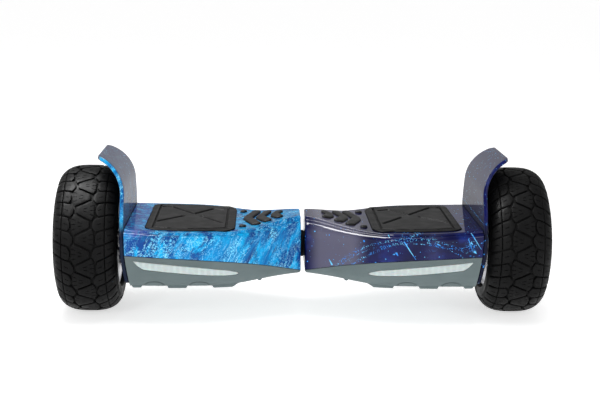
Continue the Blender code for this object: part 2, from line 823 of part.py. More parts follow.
def add_cables():
    """Cables that run inside the deck and, for the left side, through the hollow shaft."""
    battery = [(-0.0605, -0.0035, PIVOT_Z), (0.0, -0.0035, PIVOT_Z), (0.0560, -0.0035, PIVOT_Z)]
    add_cable("battery_cable", smooth_route(battery, 2), 0.0028)
    left = [
        (-0.1974, 0.000, AXLE_Z),
        (-0.1955, 0.000, AXLE_Z),
        (-0.1930, 0.003, AXLE_Z),
        (-0.1915, 0.012, AXLE_Z - 0.002),
        (-0.1915, 0.032, AXLE_Z - 0.008),
        (-0.1860, 0.044, AXLE_Z - 0.013),
        (-0.1600, 0.047, AXLE_Z - 0.016),
        (-0.0900, 0.047, AXLE_Z - 0.016),
        (-0.0620, 0.043, AXLE_Z - 0.013),
        (-0.0545, 0.026, PIVOT_Z - 0.002),
        (-0.0510, 0.0090, PIVOT_Z),
        (-0.0380, 0.0045, PIVOT_Z),
        (0.0560, 0.0045, PIVOT_Z),
    ]
    add_cable("left_motor_cable", smooth_route(left, 3), 0.0028)
    right = [
        (0.1974, 0.000, AXLE_Z),
        (0.1955, 0.000, AXLE_Z),
        (0.1930, 0.003, AXLE_Z),
        (0.1915, 0.014, AXLE_Z - 0.003),
        (0.1880, 0.034, AXLE_Z - 0.010),
        (0.1780, 0.040, AXLE_Z - 0.014),
        (0.1600, 0.041, AXLE_Z - 0.0165),
    ]
    add_cable("right_motor_cable", smooth_route(right, 3), 0.0028)


def rear_face_y(x, z):
    """How far back the lower cover's rear face is at a height."""
    section = [abs(x), *[deck_value(abs(x), column) for column in range(1, 7)]]
    half = tray_half_section(section)
    for low, high in zip(half, half[1:]):
        if low[1] <= z - AXLE_Z <= high[1]:
            share = (z - AXLE_Z - low[1]) / (high[1] - low[1])
            return -(low[0] + share * (high[0] - low[0]))
    return -half[-1][0]


def add_rear_well(cover, x, z, radius, hole_radius):
    """A round flat-bottomed recess in the lower cover's rear face, with a hole through its
    floor. Returns the floor's distance back."""
    floor = rear_face_y(x, z - radius) - 0.0005
    rim = rear_face_y(x, z + radius) - 0.0010
    wall = ((x, floor - 0.0025, z), (x, rim, z), radius + 0.0020)
    join(cover, add_cylinder("well_wall", *wall))
    cut(cover, add_cylinder("well", (x, floor, z), (x, floor + 0.040, z), radius))
    hole = ((x, floor - 0.015, z), (x, floor + 0.010, z), hole_radius)
    cut(cover, add_cylinder("well_hole", *hole))
    return floor


def add_power_button(cover):
    """A round push button, held by a collar behind the cover."""
    x, z = POWER_BUTTON_X, REAR_CONTROL_Z
    floor = add_rear_well(cover, x, z, 0.0100, 0.0074)
    button = add_cylinder("power_button", (x, floor - 0.0075, z), (x, floor + 0.0032, z), 0.0070)
    collar = ((x, floor - 0.0075, z), (x, floor - 0.0050, z), 0.0092)
    join(button, add_cylinder("button_collar", *collar))
    return button


def add_charge_port(cover):
    """Three-pin charging socket, with a rubber cap hinged along its top edge."""
    x, z = CHARGE_PORT_X, REAR_CONTROL_Z
    floor = add_rear_well(cover, x, z, 0.0118, 0.0083)

    def disc(name, low, high, radius, segments=24):
        return add_cylinder(name, (x, floor + low, z), (x, floor + high, z), radius, segments)

    port = disc("charge_port", -0.0130, 0.0010, 0.0078)
    join(port, disc("port_flange", MESH_GAP, 0.0018, 0.0100))
    cut(port, disc("port_mouth", -0.0100, 0.0100, 0.0056))
    for i in range(3):
        angle = math.tau * i / 3 + math.pi / 2
        pin_x, pin_z = x + 0.0030 * math.cos(angle), z + 0.0030 * math.sin(angle)
        pin = ((pin_x, floor - 0.0115, pin_z), (pin_x, floor - 0.0048, pin_z), 0.0008)
        join(port, add_cylinder("port_pin", *pin, 8))
    lid_low, lid_high = 0.0021, 0.0021 + CAP_LID_WALL
    cap = disc("charge_port_cap", lid_low, lid_high, 0.0092)
    join(cap, disc("cap_plug", 0.0006, lid_low + 0.0005, 0.0046))
    tab = (x - 0.0032, floor + lid_low, z + 0.008), (x + 0.0032, floor + lid_high, z + CAP_HINGE_UP)
    join(cap, add_box("cap_tab", *tab))
    return cap, port


def move_origin(obj, place):
    """Puts a finished mesh object's origin on its joint, leaving its shape where it is."""
    shift = Matrix.Translation(Vector(place)).inverted() @ obj.matrix_world
    obj.data.transform(shift)
    obj.matrix_world = Matrix.Translation(Vector(place))


# Colour, roughness and metallic value of each material
MATERIALS = {
    "blue_print": ((0.02, 0.30, 0.80), 0.12, 0.0),
    "night_print": ((0.02, 0.02, 0.10), 0.12, 0.0),
    "grey_plastic": ((0.16, 0.20, 0.20), 0.45, 0.0),
    "lens": ((0.62, 0.68, 0.68), 0.30, 0.0),
    "rubber": ((0.035, 0.035, 0.035), 0.60, 0.0),
    "tyre": ((0.015, 0.015, 0.016), 0.70, 0.0),
    "black_plastic": ((0.02, 0.02, 0.02), 0.50, 0.0),
    "aluminium": ((0.62, 0.62, 0.64), 0.40, 1.0),
    "steel": ((0.45, 0.45, 0.46), 0.30, 1.0),
    "bronze": ((0.55, 0.36, 0.14), 0.35, 1.0),
    "circuit_board": ((0.02, 0.16, 0.06), 0.45, 0.0),
    "battery_wrap": ((0.05, 0.12, 0.35), 0.35, 0.0),
}

# Which material each piece has, by the end of its name
MATERIAL_OF = (
    ("left_top_cover", "blue_print"),
    ("left_fender", "blue_print"),
    ("right_top_cover", "night_print"),
    ("right_fender", "night_print"),
    ("bottom_cover", "grey_plastic"),
    ("light_lens", "lens"),
    ("foot_pad", "rubber"),
    ("arrow_pad", "rubber"),
    ("dust_seal", "rubber"),
    ("port_cap", "rubber"),
    ("tyre", "tyre"),
    ("valve_stem", "black_plastic"),
    ("power_button", "black_plastic"),
    ("charge_port", "black_plastic"),
    ("cable", "black_plastic"),
    ("board", "circuit_board"),
    ("battery_pack", "battery_wrap"),
    ("bush_inner", "bronze"),
    ("bush_outer", "bronze"),
    ("frame", "aluminium"),
    ("axle_clamp", "aluminium"),
    ("rotor", "aluminium"),
    ("hub_outer_cover", "aluminium"),
    ("hub_inner_cover", "aluminium"),
    ("stator", "steel"),
    ("magnet_ring", "steel"),
    ("axle", "steel"),
    ("bearing", "steel"),
    ("pivot_shaft", "steel"),
    ("retaining_ring", "steel"),
    ("screw_front", "steel"),
    ("screw_rear", "steel"),
)


def paint(obj):
    """Gives a piece its material and shades its round faces smooth."""
    key = next(key for ending, key in MATERIAL_OF if obj.name.endswith(ending))
    material = bpy.data.materials.get(key) or make_material(key, *MATERIALS[key])
    obj.data.materials.clear()
    obj.data.materials.append(material)
    obj.data.shade_smooth()
    obj.data.set_sharp_from_angle(angle=math.radians(32))


def hang_on(name, place, pieces):
    """Parents pieces to an empty on the axis that they turn about."""
    empty = bpy.data.objects.new(name, None)
    empty.empty_display_size = 0.03
    empty.location = place
    parts.objects.link(empty)
    bpy.context.view_layer.update()
    for piece in pieces:
        piece.parent = empty
        piece.matrix_parent_inverse = empty.matrix_world.inverted()
    return empty


clear_scene()
parts = add_collection(PARTS)
cutters = add_collection(CUTTERS)

right_half = [
    add_top_cover(),
    add_bottom_cover(),
    add_light_lens(),
    add_fender(),
    add_foot_pad(),
    add_arrow_pad(),
    add_sensor_board(),
    add_light_board(),
    add_axle(),
    add_axle_clamp(),
    add_clamp_screw("right_clamp_screw_front", -1),
    add_clamp_screw("right_clamp_screw_rear", 1),
]
right_wheel = add_wheel()
left_half = {piece.name: mirror_to_left(piece) for piece in right_half}
left_wheel = [mirror_to_left(piece) for piece in right_wheel]

left_frame = add_frame("right_frame", SHAFT_RADIUS + MESH_GAP)
mirror_to_left(left_frame)
for helper in [modifier.object for modifier in left_frame.modifiers]:
    bpy.data.objects.remove(helper)
bpy.data.objects.remove(left_frame)
right_frame = add_frame("right_frame", SHAFT_RADIUS + BUSH_WALL + MESH_GAP)
add_board_posts(right_frame)

add_pivot()
control_board = add_electronics()
add_cables()
power_button = add_power_button(right_half[1])
charge_port_cap, charge_port = add_charge_port(left_half["right_bottom_cover"])

bpy.context.view_layer.update()
hinge = charge_port_cap.location + Vector((0.0, CAP_LID_WALL / 2, CAP_HINGE_UP))
move_origin(charge_port_cap, hinge)

wheel_places = (("right_wheel_axis", 1, right_wheel), ("left_wheel_axis", -1, left_wheel))
for name, side, pieces in wheel_places:
    hang_on(name, (side * WHEEL_X, 0.0, AXLE_Z), [p for p in pieces if "stator" not in p.name])
moving_half = [*right_half, right_frame, control_board, power_button]
hang_on("right_half_pivot", (0.0, 0.0, PIVOT_Z), moving_half)

for piece in parts.objects:
    if piece.type == "MESH":
        paint(piece)
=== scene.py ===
"""Looks of a self-balancing hoverboard with knobbly 8.5-inch tyres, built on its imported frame.

Metres, +Z up, origin on the floor under the middle. +X is the night-sky half, -Y the side with
the lights. Each piece is modelled for the right half, then mirrored or turned for the left.
"""

import math
from contextlib import contextmanager

import bmesh
import bpy
import numpy as np
from mathutils import Matrix, Vector


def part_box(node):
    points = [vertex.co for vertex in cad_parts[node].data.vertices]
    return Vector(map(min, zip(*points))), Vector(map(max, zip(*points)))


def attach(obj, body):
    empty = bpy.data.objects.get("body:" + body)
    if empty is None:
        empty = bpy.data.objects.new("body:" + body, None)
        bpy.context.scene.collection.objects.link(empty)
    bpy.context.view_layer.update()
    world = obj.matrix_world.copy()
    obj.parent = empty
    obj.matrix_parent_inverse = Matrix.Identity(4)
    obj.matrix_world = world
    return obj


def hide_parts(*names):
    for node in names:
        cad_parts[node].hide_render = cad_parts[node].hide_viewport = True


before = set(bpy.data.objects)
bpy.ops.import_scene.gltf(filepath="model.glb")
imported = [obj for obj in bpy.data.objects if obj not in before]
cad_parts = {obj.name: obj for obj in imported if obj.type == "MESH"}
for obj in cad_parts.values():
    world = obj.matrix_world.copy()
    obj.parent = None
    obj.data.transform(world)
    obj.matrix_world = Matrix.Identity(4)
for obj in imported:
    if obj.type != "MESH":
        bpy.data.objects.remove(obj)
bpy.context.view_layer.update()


def extent(node):
    """The low corner, the high corner and the middle of a CAD node's box."""
    low, high = (np.array(corner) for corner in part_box(node))
    return low, high, (low + high) / 2


MM = 0.001
AXLE_Z = float(extent("right_axle")[2][2])
PIVOT_Z = AXLE_Z - 0.007
REAR_CONTROL_Z = AXLE_Z - 0.0295
TYRE_LOW, TYRE_HIGH, TYRE_MIDDLE = extent("right_tyre")
WHEEL_X = float(TYRE_MIDDLE[0])
TYRE_RADIUS = float(TYRE_HIGH[2] - TYRE_LOW[2]) / 2
DECK_OUTER_X = float(extent("right_top_cover")[1][0])

# Deck sections: x, half depth and height of the flat top, of the joint, of the underside
SECTIONS = (
    (0.0030, 0.0255, 0.0391, 0.0520, -0.0340, 0.0480, -0.0386),
    (0.0224, 0.0342, 0.0368, 0.0590, -0.0296, 0.0520, -0.0404),
    (0.0407, 0.0450, 0.0334, 0.0660, -0.0252, 0.0565, -0.0425),
    (0.0661, 0.0610, 0.0294, 0.0765, -0.0197, 0.0650, -0.0455),
    (0.0844, 0.0748, 0.0280, 0.0850, -0.0161, 0.0715, -0.0476),
    (0.1016, 0.0860, 0.0279, 0.0922, -0.0130, 0.0768, -0.0490),
    (0.1240, 0.0960, 0.0286, 0.0985, -0.0102, 0.0810, -0.0500),
    (0.1524, 0.1004, 0.0295, 0.1018, -0.0077, 0.0833, -0.0500),
    (0.1880, 0.1007, 0.0304, 0.1022, -0.0058, 0.0843, -0.0500),
    (0.2185, 0.0975, 0.0315, 0.1003, -0.0045, 0.0843, -0.0500),
    (DECK_OUTER_X, 0.0925, 0.0330, 0.0970, -0.0035, 0.0833, -0.0500),
)
TOP_WALL = 0.0028
TRAY_WALL = 0.0030
TRAY_END_LEAN = 0.006
END_ROUNDING = 0.0030
SHELL_GAP = 0.0008

# Share of the lower shell's height, then of its spread from the underside to the joint
TRAY_STEPS = ((0.0, 0.0), (0.10, 0.25), (0.30, 0.60), (0.60, 0.88), (1.0, 1.0))

# Foot pad: x and half depth, then its sloped top, grooves and raised panel
PAD_OUTLINE = (
    (0.0965, 0.0660),
    (0.0995, 0.0730),
    (0.1270, 0.0838),
    (0.1570, 0.0888),
    (0.1880, 0.0888),
    (0.2155, 0.0832),
    (0.2210, 0.0775),
)
PAD_SLOPE = 0.0254
PAD_MID_X = 0.158
PAD_TOP_AT_MID = 0.0324
PAD_CORNER = 0.0035
PAD_PANEL_X = (0.1085, 0.2095)
PAD_PANEL_INSET = 0.0075
PAD_GROOVES = (
    ((0.2075, 0.062), (0.1940, 0.064), (0.1575, 0.016), (0.1305, 0.056), (0.1170, 0.050)),
    ((0.2075, -0.042), (0.1720, 0.000)),
    ((0.1450, 0.000), (0.1160, -0.038)),
)

# Arrow marks: tip x, end x, half depth, stroke; then the two dots
CHEVRONS = (
    (0.0850, 0.0680, 0.0450, 0.0125),
    (0.0666, 0.0520, 0.0335, 0.0120),
    (0.0457, 0.0350, 0.0212, 0.0112),
)
DOT = (0.0858, 0.0500, 0.0050, 0.0040)
MARK_PROUD = 0.0030

# Front light: x, lower edge, upper edge
LENS_EDGES = (
    (0.0908, -0.0309, -0.0305),
    (0.0935, -0.0325, -0.0281),
    (0.0985, -0.0329, -0.0266),
    (0.1065, -0.0330, -0.0243),
    (0.1420, -0.0308, -0.0192),
    (0.1930, -0.0262, -0.0143),
    (0.2220, -0.0232, -0.0120),
    (0.2300, -0.0178, -0.0113),
    (0.2358, -0.0110, -0.0107),
)

# Niches low in the front: middle x of each, half width, height over their foot, foot
NICHE_MIDDLES = (0.1450, 0.2075)
NICHE_HALF = 0.0150
NICHE_TALL = 0.0086
NICHE_FOOT = -0.0500

# Skid teeth: inner x, outer x, underside, slope of the inner end
TEETH = (
    (0.0570, 0.0655, -0.0468, 0.0025),
    (0.0900, 0.1285, -0.0530, 0.0090),
    (0.1610, 0.1910, -0.0530, 0.0025),
    (0.2240, 0.2405, -0.0525, 0.0025),
)
TOOTH_HALF = 0.08

# Wells of the rear controls: side, control, radius, hole, depth of the floor under its face
WELLS = (
    ("right", "power_button", 0.0100, 0.0076, 0.0032),
    ("left", "charge_port", 0.0118, 0.0083, 0.0018),
)
WELL_WALL = 0.0016

# Fender: height and half depth up to the arc, then the arc over the tyre
FENDER_ROWS = (
    (-0.0495, 0.0720),
    (-0.0460, 0.0820),
    (-0.0360, 0.0895),
    (-0.0210, 0.0940),
    (-0.0050, 0.0965),
    (0.0200, 0.0985),
    (0.0330, 0.0960),
    (0.0560, 0.0905),
    (0.0770, 0.0815),
)
FENDER_INNER_X = DECK_OUTER_X + 0.0003
FENDER_ARC_RADIUS = 0.0545
FENDER_ARC_ANGLE = math.radians(73)
FENDER_TIP_HALF = 0.0530
FENDER_WALL = 0.006
FENDER_EDGE = 0.0022

# Tread: crown and shoulder of the tyre in mm, as (x from its middle, radius)
TYRE_CROWN = (
    (0.0, 105.5),
    (12.0, 105.15),
    (22.0, 103.7),
    (30.0, 100.9),
    (36.0, 96.9),
    (40.5, 91.8),
    (43.4, 85.8),
    (45.2, 79.5),
    (45.8, 74.5),
)
TREAD_DEPTH = 0.0034
TREAD_PERIODS = 16
TREAD_LEAN = 0.35
SIPE_HALF = 0.00045

# Tyre carcass: distance from the middle over the crown, height over the tread's surface
CARCASS_DEPTHS = (
    (0.0, -TREAD_DEPTH),
    (0.043, -TREAD_DEPTH),
    (0.052, -0.0018),
    (0.0535, -0.0005),
    (0.0555, -0.0005),
    (0.057, -0.0014),
    (1.0, -0.0014),
)

HUB_BOLTS = 8
HUB_BOLT_CIRCLES = {"outer": 0.0478, "inner": 0.0300}


# ---------------------------------------------------------------- geometry helpers


def smooth_table(rows, at):
    """Every column of a table at new values of its first one, on cubic curves."""
    table = np.array(rows, float)
    x, y = table[:, 0], table[:, 1:]
    at = np.atleast_1d(np.asarray(at, float))
    slope = np.gradient(y, x, axis=0)
    i = np.clip(np.searchsorted(x, at, side="right") - 1, 0, len(x) - 2)
    span = (x[i + 1] - x[i])[:, None]
    t = (at - x[i])[:, None] / span
    return (
        (1 + 2 * t) * (1 - t) ** 2 * y[i]
        + t * (1 - t) ** 2 * span * slope[i]
        + t * t * (3 - 2 * t) * y[i + 1]
        + t * t * (t - 1) * span * slope[i + 1]
    )


def link(name, data):
    obj = bpy.data.objects.new(name, data)
    bpy.context.scene.collection.objects.link(obj)
    return obj


def solid(name, points, faces):
    mesh = bpy.data.meshes.new(name)
    mesh.from_pydata(np.asarray(points, float).reshape(-1, 3).tolist(), [], faces)
    return link(name, mesh)


@contextmanager
def editing(mesh):
    """A mesh open in bmesh, and written back at the end."""
    shape = bmesh.new()
    shape.from_mesh(mesh)
    yield shape
    shape.to_mesh(mesh)
    shape.free()


def smooth(obj, degrees=35):
    obj.data.shade_smooth()
    obj.data.set_sharp_from_angle(angle=math.radians(degrees))
    return obj


def grid(name, points, wrap_rows=False, wrap_columns=False, caps=()):
    """A mesh of quads through rows of points. A cap closes a row with one face."""
    points = np.asarray(points, float)
    rows, columns = points.shape[:2]
    faces = []
    for i in range(rows if wrap_rows else rows - 1):
        for j in range(columns if wrap_columns else columns - 1):
            k, m = (i + 1) % rows, (j + 1) % columns
            faces.append((i * columns + j, i * columns + m, k * columns + m, k * columns + j))
    for row in caps:
        ring = [(row % rows) * columns + j for j in range(columns)]
        faces.append(ring if row else ring[::-1])
    return solid(name, points, faces)


def outward(obj):
    """Turns a closed mesh's faces to point out, and welds its seams."""
    with editing(obj.data) as shape:
        bmesh.ops.remove_doubles(shape, verts=shape.verts, dist=1e-6)
        wires = [edge for edge in shape.edges if edge.is_wire]
        bmesh.ops.delete(shape, geom=wires, context="EDGES")
        bmesh.ops.recalc_face_normals(shape, faces=shape.faces)
        if shape.calc_volume(signed=True) < 0:
            bmesh.ops.reverse_faces(shape, faces=shape.faces)
    return obj


def settle(obj):
    """Makes an object's modifiers part of its mesh."""
    bpy.context.view_layer.update()
    graph = bpy.context.evaluated_depsgraph_get()
    mesh = bpy.data.meshes.new_from_object(obj.evaluated_get(graph))
    obj.modifiers.clear()
    obj.data = mesh
    return obj


def combine(obj, operation, *others):
    """Cuts or joins with other closed objects, which are used up."""
    for other in others:
        modifier = obj.modifiers.new("Boolean", "BOOLEAN")
        modifier.operation = operation
        modifier.object = other
        modifier.solver = "EXACT"
        settle(obj)
        bpy.data.objects.remove(other, do_unlink=True)
    return obj


def merge(name, objects):
    """One object that holds several meshes side by side."""
    mesh = bpy.data.meshes.new(name)
    with editing(mesh) as shape:
        for obj in objects:
            shape.from_mesh(obj.data)
            bpy.data.objects.remove(obj, do_unlink=True)
    return link(name, mesh)


def turned(name, profile, x=0.0, y=0.0, z=AXLE_Z, steps=72, axis="X"):
    """A closed (radius, along) profile turned about an axis along X or Y."""
    profile = np.array(profile, float)
    angles = np.linspace(0, math.tau, steps, endpoint=False)
    radius, along = profile[:, 0][None, :], profile[:, 1][None, :]
    cos, sin = np.cos(angles)[:, None], np.sin(angles)[:, None]
    along = along * np.ones_like(cos)
    if axis == "X":
        points = np.stack([x + along, y - radius * cos, z + radius * sin], -1)
    else:
        points = np.stack([x + radius * cos, y + along, z + radius * sin], -1)
    return outward(grid(name, points, wrap_rows=True, wrap_columns=True))


def arc(middle, radii, start, end, count):
    """Points on an ellipse, from one angle in degrees to another."""
    angles = np.radians(np.linspace(start, end, count))
    (u, v), (a, b) = middle, radii
    return [(u + a * math.cos(t), v + b * math.sin(t)) for t in angles]


def corner_pull(away, radius):
    """How far a round corner pulls a side in, at a distance from the corner's end."""
    return radius - np.sqrt(np.clip(radius**2 - np.clip(radius - away, 0, radius) ** 2, 0, None))


def with_neighbours(points):
    """Each corner of an outline, with the one before it and the one after it."""
    points = [Vector(p) for p in points]
    return zip([points[-1], *points], points, [*points[1:], points[0]])


def rounded(points, radius, steps=4):
    """An outline with its corners rounded."""
    out = []
    for before, corner, after in with_neighbours(points):
        to_before, to_after = before - corner, after - corner
        reach = min(radius, 0.45 * to_before.length, 0.45 * to_after.length)
        start = corner + to_before.normalized() * reach
        end = corner + to_after.normalized() * reach
        for step in range(steps + 1):
            t = step / steps
            out.append(start * (1 - t) ** 2 + corner * 2 * t * (1 - t) + end * t * t)
    return [(p.x, p.y) for p in out]


def grown(points, margin):
    """A counter-clockwise outline moved out by a margin."""
    out = []
    for before, corner, after in with_neighbours(points):
        a, b = (corner - before).normalized(), (after - corner).normalized()
        normal = Vector((a.y + b.y, -a.x - b.x))
        if normal.length < 1e-6:
            normal = Vector((a.y, -a.x))
        normal.normalize()
        stretch = max(0.5, normal.dot(Vector((a.y, -a.x))))
        out.append(corner + normal * (margin / stretch))
    return [(p.x, p.y) for p in out]


def prism(name, outline, low, high, bevel=0.0, step=None, segments=2):
    """An outline in XY made solid between two heights, with rounded edges, and sliced so
    that it can be bent."""
    mesh = bpy.data.meshes.new(name)
    with editing(mesh) as shape:
        face = shape.faces.new([shape.verts.new((u, v, low)) for u, v in outline])
        made = bmesh.ops.extrude_face_region(shape, geom=[face])
        top = [item for item in made["geom"] if isinstance(item, bmesh.types.BMVert)]
        bmesh.ops.translate(shape, vec=(0, 0, high - low), verts=top)
        bmesh.ops.recalc_face_normals(shape, faces=shape.faces)
        if bevel:
            sharp = [e for e in shape.edges if e.calc_face_angle(0) > math.radians(40)]
            upper = [e for e in sharp if max(v.co.z for v in e.verts) > high - 1e-7]
            how = {"segments": segments, "affect": "EDGES", "profile": 0.5}
            bmesh.ops.bevel(shape, geom=upper, offset=bevel, **how)
        if step:
            slice_up(shape, step)
    return link(name, mesh)


def slice_up(shape, step):
    """Cuts a mesh along planes of constant X and Y."""
    for axis in (0, 1):
        values = [v.co[axis] for v in shape.verts]
        first = math.floor(min(values) / step) + 1
        for k in range(first, math.ceil(max(values) / step)):
            place, normal = [0.0] * 3, [0.0] * 3
            place[axis], normal[axis] = k * step, 1.0
            geom = [*shape.verts, *shape.edges, *shape.faces]
            bmesh.ops.bisect_plane(shape, geom=geom, plane_co=place, plane_no=normal)


def positions(mesh):
    flat = np.empty(len(mesh.vertices) * 3)
    mesh.vertices.foreach_get("co", flat)
    return flat.reshape(-1, 3)


def remap(obj, place):
    """Moves every vertex by a function of an (n, 3) array."""
    obj.data.vertices.foreach_set("co", place(positions(obj.data)).ravel())
    obj.data.update()
    return obj


def pillow(name, along, half, place, low, high, edge, fine, relief=None, both_faces=False):
    """A sheet over `along` by +-half(along), between two offsets, with its upper edge or both
    rounded. `place` turns (along, across, offset) into positions; `relief` lowers the top."""
    ease = np.array([0.0, 0.06, 0.2, 0.42, 0.7, 1.0]) * edge
    start, end = along
    middle = np.linspace(start + edge, end - edge, max(3, int((end - start) / fine)))[1:-1]
    s = np.concatenate([start + ease, middle, end - ease[::-1]])
    halves = half(s)
    count = max(3, int(2 * halves.max() / fine))
    share = np.linspace(-1, 1, count)[1:-1]
    halves = halves[:, None]
    parts = [ease - halves, (halves - edge) * share, halves - ease[::-1]]
    across = np.concatenate(parts, axis=1)
    s2 = np.repeat(s[:, None], across.shape[1], axis=1)
    from_edge = np.minimum(np.minimum(s2 - start, end - s2), halves - np.abs(across))
    inside = np.clip(1 - from_edge / edge, 0, 1)
    drop = edge * (1 - np.sqrt(np.clip(1 - inside**2, 0, 1)))
    top = high - drop
    if relief is not None:
        top = top - relief(s2, across)
    bottom = low + (drop if both_faces else 0 * drop)
    points = np.stack([place(s2, across, top), place(s2, across, bottom)])
    at = np.arange(s2.size).reshape(s2.shape)
    faces = []
    n = s2.size
    for quad in zip(*(part.ravel().tolist() for part in corners_of(at))):
        faces += [quad, tuple(n + k for k in quad[::-1])]
    rim = [*at[0], *at[1:, -1], *at[-1, -2::-1], *at[-2:0:-1, 0]]
    for a, b in zip(rim, [*rim[1:], rim[0]]):
        faces.append((b, a, n + a, n + b))
    return outward(solid(name, points, faces))


def corners_of(at):
    """The four corners of every quad in a grid of vertex numbers."""
    return at[:-1, :-1], at[:-1, 1:], at[1:, 1:], at[1:, :-1]


def mirrored(obj, name, turn=False):
    """The left half's twin: mirrored in X, or turned half round about Z."""
    mesh = obj.data.copy()
    if turn:
        mesh.transform(Matrix.Rotation(math.pi, 4, "Z"))
    else:
        mesh.transform(Matrix.Scale(-1, 4, (1, 0, 0)))
        mesh.flip_normals()
    return link(name, mesh)


# ---------------------------------------------------------------- deck shape


def top_profile(flat, top, joint, joint_z):
    """Half of the upper shell's section, from the middle to the joint: (y out, z)."""
    out = [(flat * k, top) for k in (0.0, 0.15, 0.3, 0.45, 0.6, 0.75, 0.88, 0.95)]
    raised_edge = arc((-0.0010, -0.0010), (0.0010, 0.0010), 90, 0, 6)
    groove = [(0.0002, -0.0019), *arc((0.0010, -0.0019), (0.0007, 0.0008), 180, 270, 4)]
    ledge = [(0.0010 + 0.0007 * k, -0.0027 - 0.00011 * k) for k in range(1, 5)]
    shoulder = arc((0.0038, -0.0092), (0.0046, 0.0061), 90, 0, 13)[1:]
    # The edge grows towards the pivot, where the deck is narrow
    spread = 1 + 0.9 * min(1.0, max(0.0, (0.084 - flat) / 0.055))
    edge = raised_edge + groove + ledge + shoulder
    out += [(flat + spread * y, top + spread * z) for y, z in edge]
    start, end = np.array(out[-1]), np.array((joint, joint_z))
    middle = np.array((start[0], 0.45 * (top + joint_z)))
    t = np.arange(1, 15)[:, None] / 14
    side = (1 - t) ** 2 * start + 2 * t * (1 - t) * middle + t * t * end
    return np.concatenate([out, side])


def tray_profile(joint, joint_z, bottom, bottom_z):
    """Half of the lower shell's section, from the middle of the underside to the joint."""
    drop = joint_z - SHELL_GAP - bottom_z
    heights = np.linspace(1.0, 0.0, 22)
    lean = smooth_table(TRAY_STEPS, heights)[:, 0]
    side = np.column_stack([bottom + (joint - bottom) * lean, bottom_z + drop * heights])
    out = [*side[:-1]]
    out += [(bottom - 0.0008, bottom_z + 0.0003), (bottom - 0.0022, bottom_z)]
    out += [(bottom * k, bottom_z) for k in (0.93, 0.85, 0.7, 0.5, 0.3, 0.15, 0.0)]
    return np.array(out[::-1])


def wall_y(x, z):
    """How far out the lower shell's side is, at arrays of x and of height over the axle."""
    x, z = np.broadcast_arrays(np.asarray(x, float), np.asarray(z, float))
    values = smooth_table(SECTIONS, x.ravel())
    joint, joint_z, bottom, bottom_z = values[:, 2], values[:, 3], values[:, 4], values[:, 5]
    share = np.clip((z.ravel() - bottom_z) / (joint_z - SHELL_GAP - bottom_z), 0, 1)
    lean = smooth_table(TRAY_STEPS, share)[:, 0]
    return (bottom + (joint - bottom) * lean).reshape(x.shape)


def deck_top(x):
    return smooth_table(SECTIONS, x)[:, 1]


def end_lean(z):
    """How far the lower shell's outer end leans inwards, at heights below the joint."""
    joint, bottom = SECTIONS[-1][4], SECTIONS[-1][6]
    return TRAY_END_LEAN * np.clip((joint - z) / (joint - bottom), 0, 1)


def deck_rows(profile, columns, end_x):
    """Sections of the deck from its rounded inner end to its outer end."""
    inner = SECTIONS[0][0]
    stations = []
    for angle in np.radians(range(90, 0, -15)):
        sunk = (1 - math.sin(angle), 1 - math.cos(angle))
        stations.append((inner + END_ROUNDING * sunk[0], END_ROUNDING * sunk[1]))
    body = [*np.linspace(inner + END_ROUNDING, 0.13, 46), *np.linspace(0.13, end_x, 34)[1:]]
    stations += [(x, 0.0) for x in body]
    rows = []
    for x, inset in stations:
        values = smooth_table(SECTIONS, x)[0][columns]
        half = profile(*values)
        half[:, 0] *= 1 - inset / half[:, 0].max()
        joint_z = half[-1, 1]
        span = np.abs(half[:, 1] - joint_z).max()
        half[:, 1] = joint_z + (half[:, 1] - joint_z) * (1 - inset / span)
        full = np.concatenate([half[:0:-1], half * (-1, 1)])
        rows.append(np.column_stack([np.full(len(full), x), full[:, 0], full[:, 1] + AXLE_Z]))
    return np.array(rows)


def inner_rows(rows, wall, reach=0.004):
    """The same sections a wall's thickness further in."""
    out = []
    first, last = rows[0][0][0], rows[-1][0][0]
    for row in rows:
        steps = np.hypot(*np.diff(row[:, 1:], axis=0).T)
        s = np.concatenate([[0], np.cumsum(steps)])
        ty, tz = (
            np.interp(s + reach, s, row[:, k]) - np.interp(s - reach, s, row[:, k]) for k in (1, 2)
        )
        normal = np.column_stack([-tz, ty]) / np.hypot(ty, tz)[:, None]
        middle = len(row) // 2
        if normal[middle, 1] * (row[middle, 2] - AXLE_Z) > 0:
            normal = -normal
        moved = row.copy()
        moved[:, 1:] += wall * normal
        moved[[0, -1], 2] = row[[0, -1], 2]
        moved[:, 0] = last - (last - row[0][0]) * (last - first - wall) / (last - first)
        out.append(moved)
    return np.array(out)


def make_shell(name, outer, inner):
    """A shell between two sets of sections, closed at its inner end."""
    rows, columns = outer.shape[:2]
    n, end = rows * columns, columns - 1
    faces = []
    for i in range(rows - 1):
        for j in range(end):
            a = i * columns + j
            quad = (a, a + 1, a + columns + 1, a + columns)
            faces += [quad, tuple(n + k for k in quad[::-1])]
        for a in (i * columns, i * columns + end):
            faces.append((a, a + columns, n + a + columns, n + a))
    last = (rows - 1) * columns
    faces += [(last + j, last + j + 1, n + last + j + 1, n + last + j) for j in range(end)]
    faces += [tuple(range(columns)), tuple(range(n, n + columns)), (0, end, n + end, n)]
    return outward(solid(name, np.stack([outer, inner]), faces))


def pad_ring(margin):
    front = [(x, -y) for x, y in PAD_OUTLINE]
    back = [(x, y) for x, y in reversed(PAD_OUTLINE)]
    return grown(rounded([*front, *back], 0.004), margin)


def chevron_ring(tip, end, half, stroke):
    points = [
        (end - stroke * 0.45, -half),
        (end + stroke * 0.35, -half),
        (tip, -0.0060),
        (tip, 0.0060),
        (end + stroke * 0.35, half),
        (end - stroke * 0.45, half),
        (end - stroke * 0.65, half - 0.006),
        (tip - stroke, 0.0),
        (end - stroke * 0.65, -half + 0.006),
    ]
    return rounded(points, 0.0035, 5)


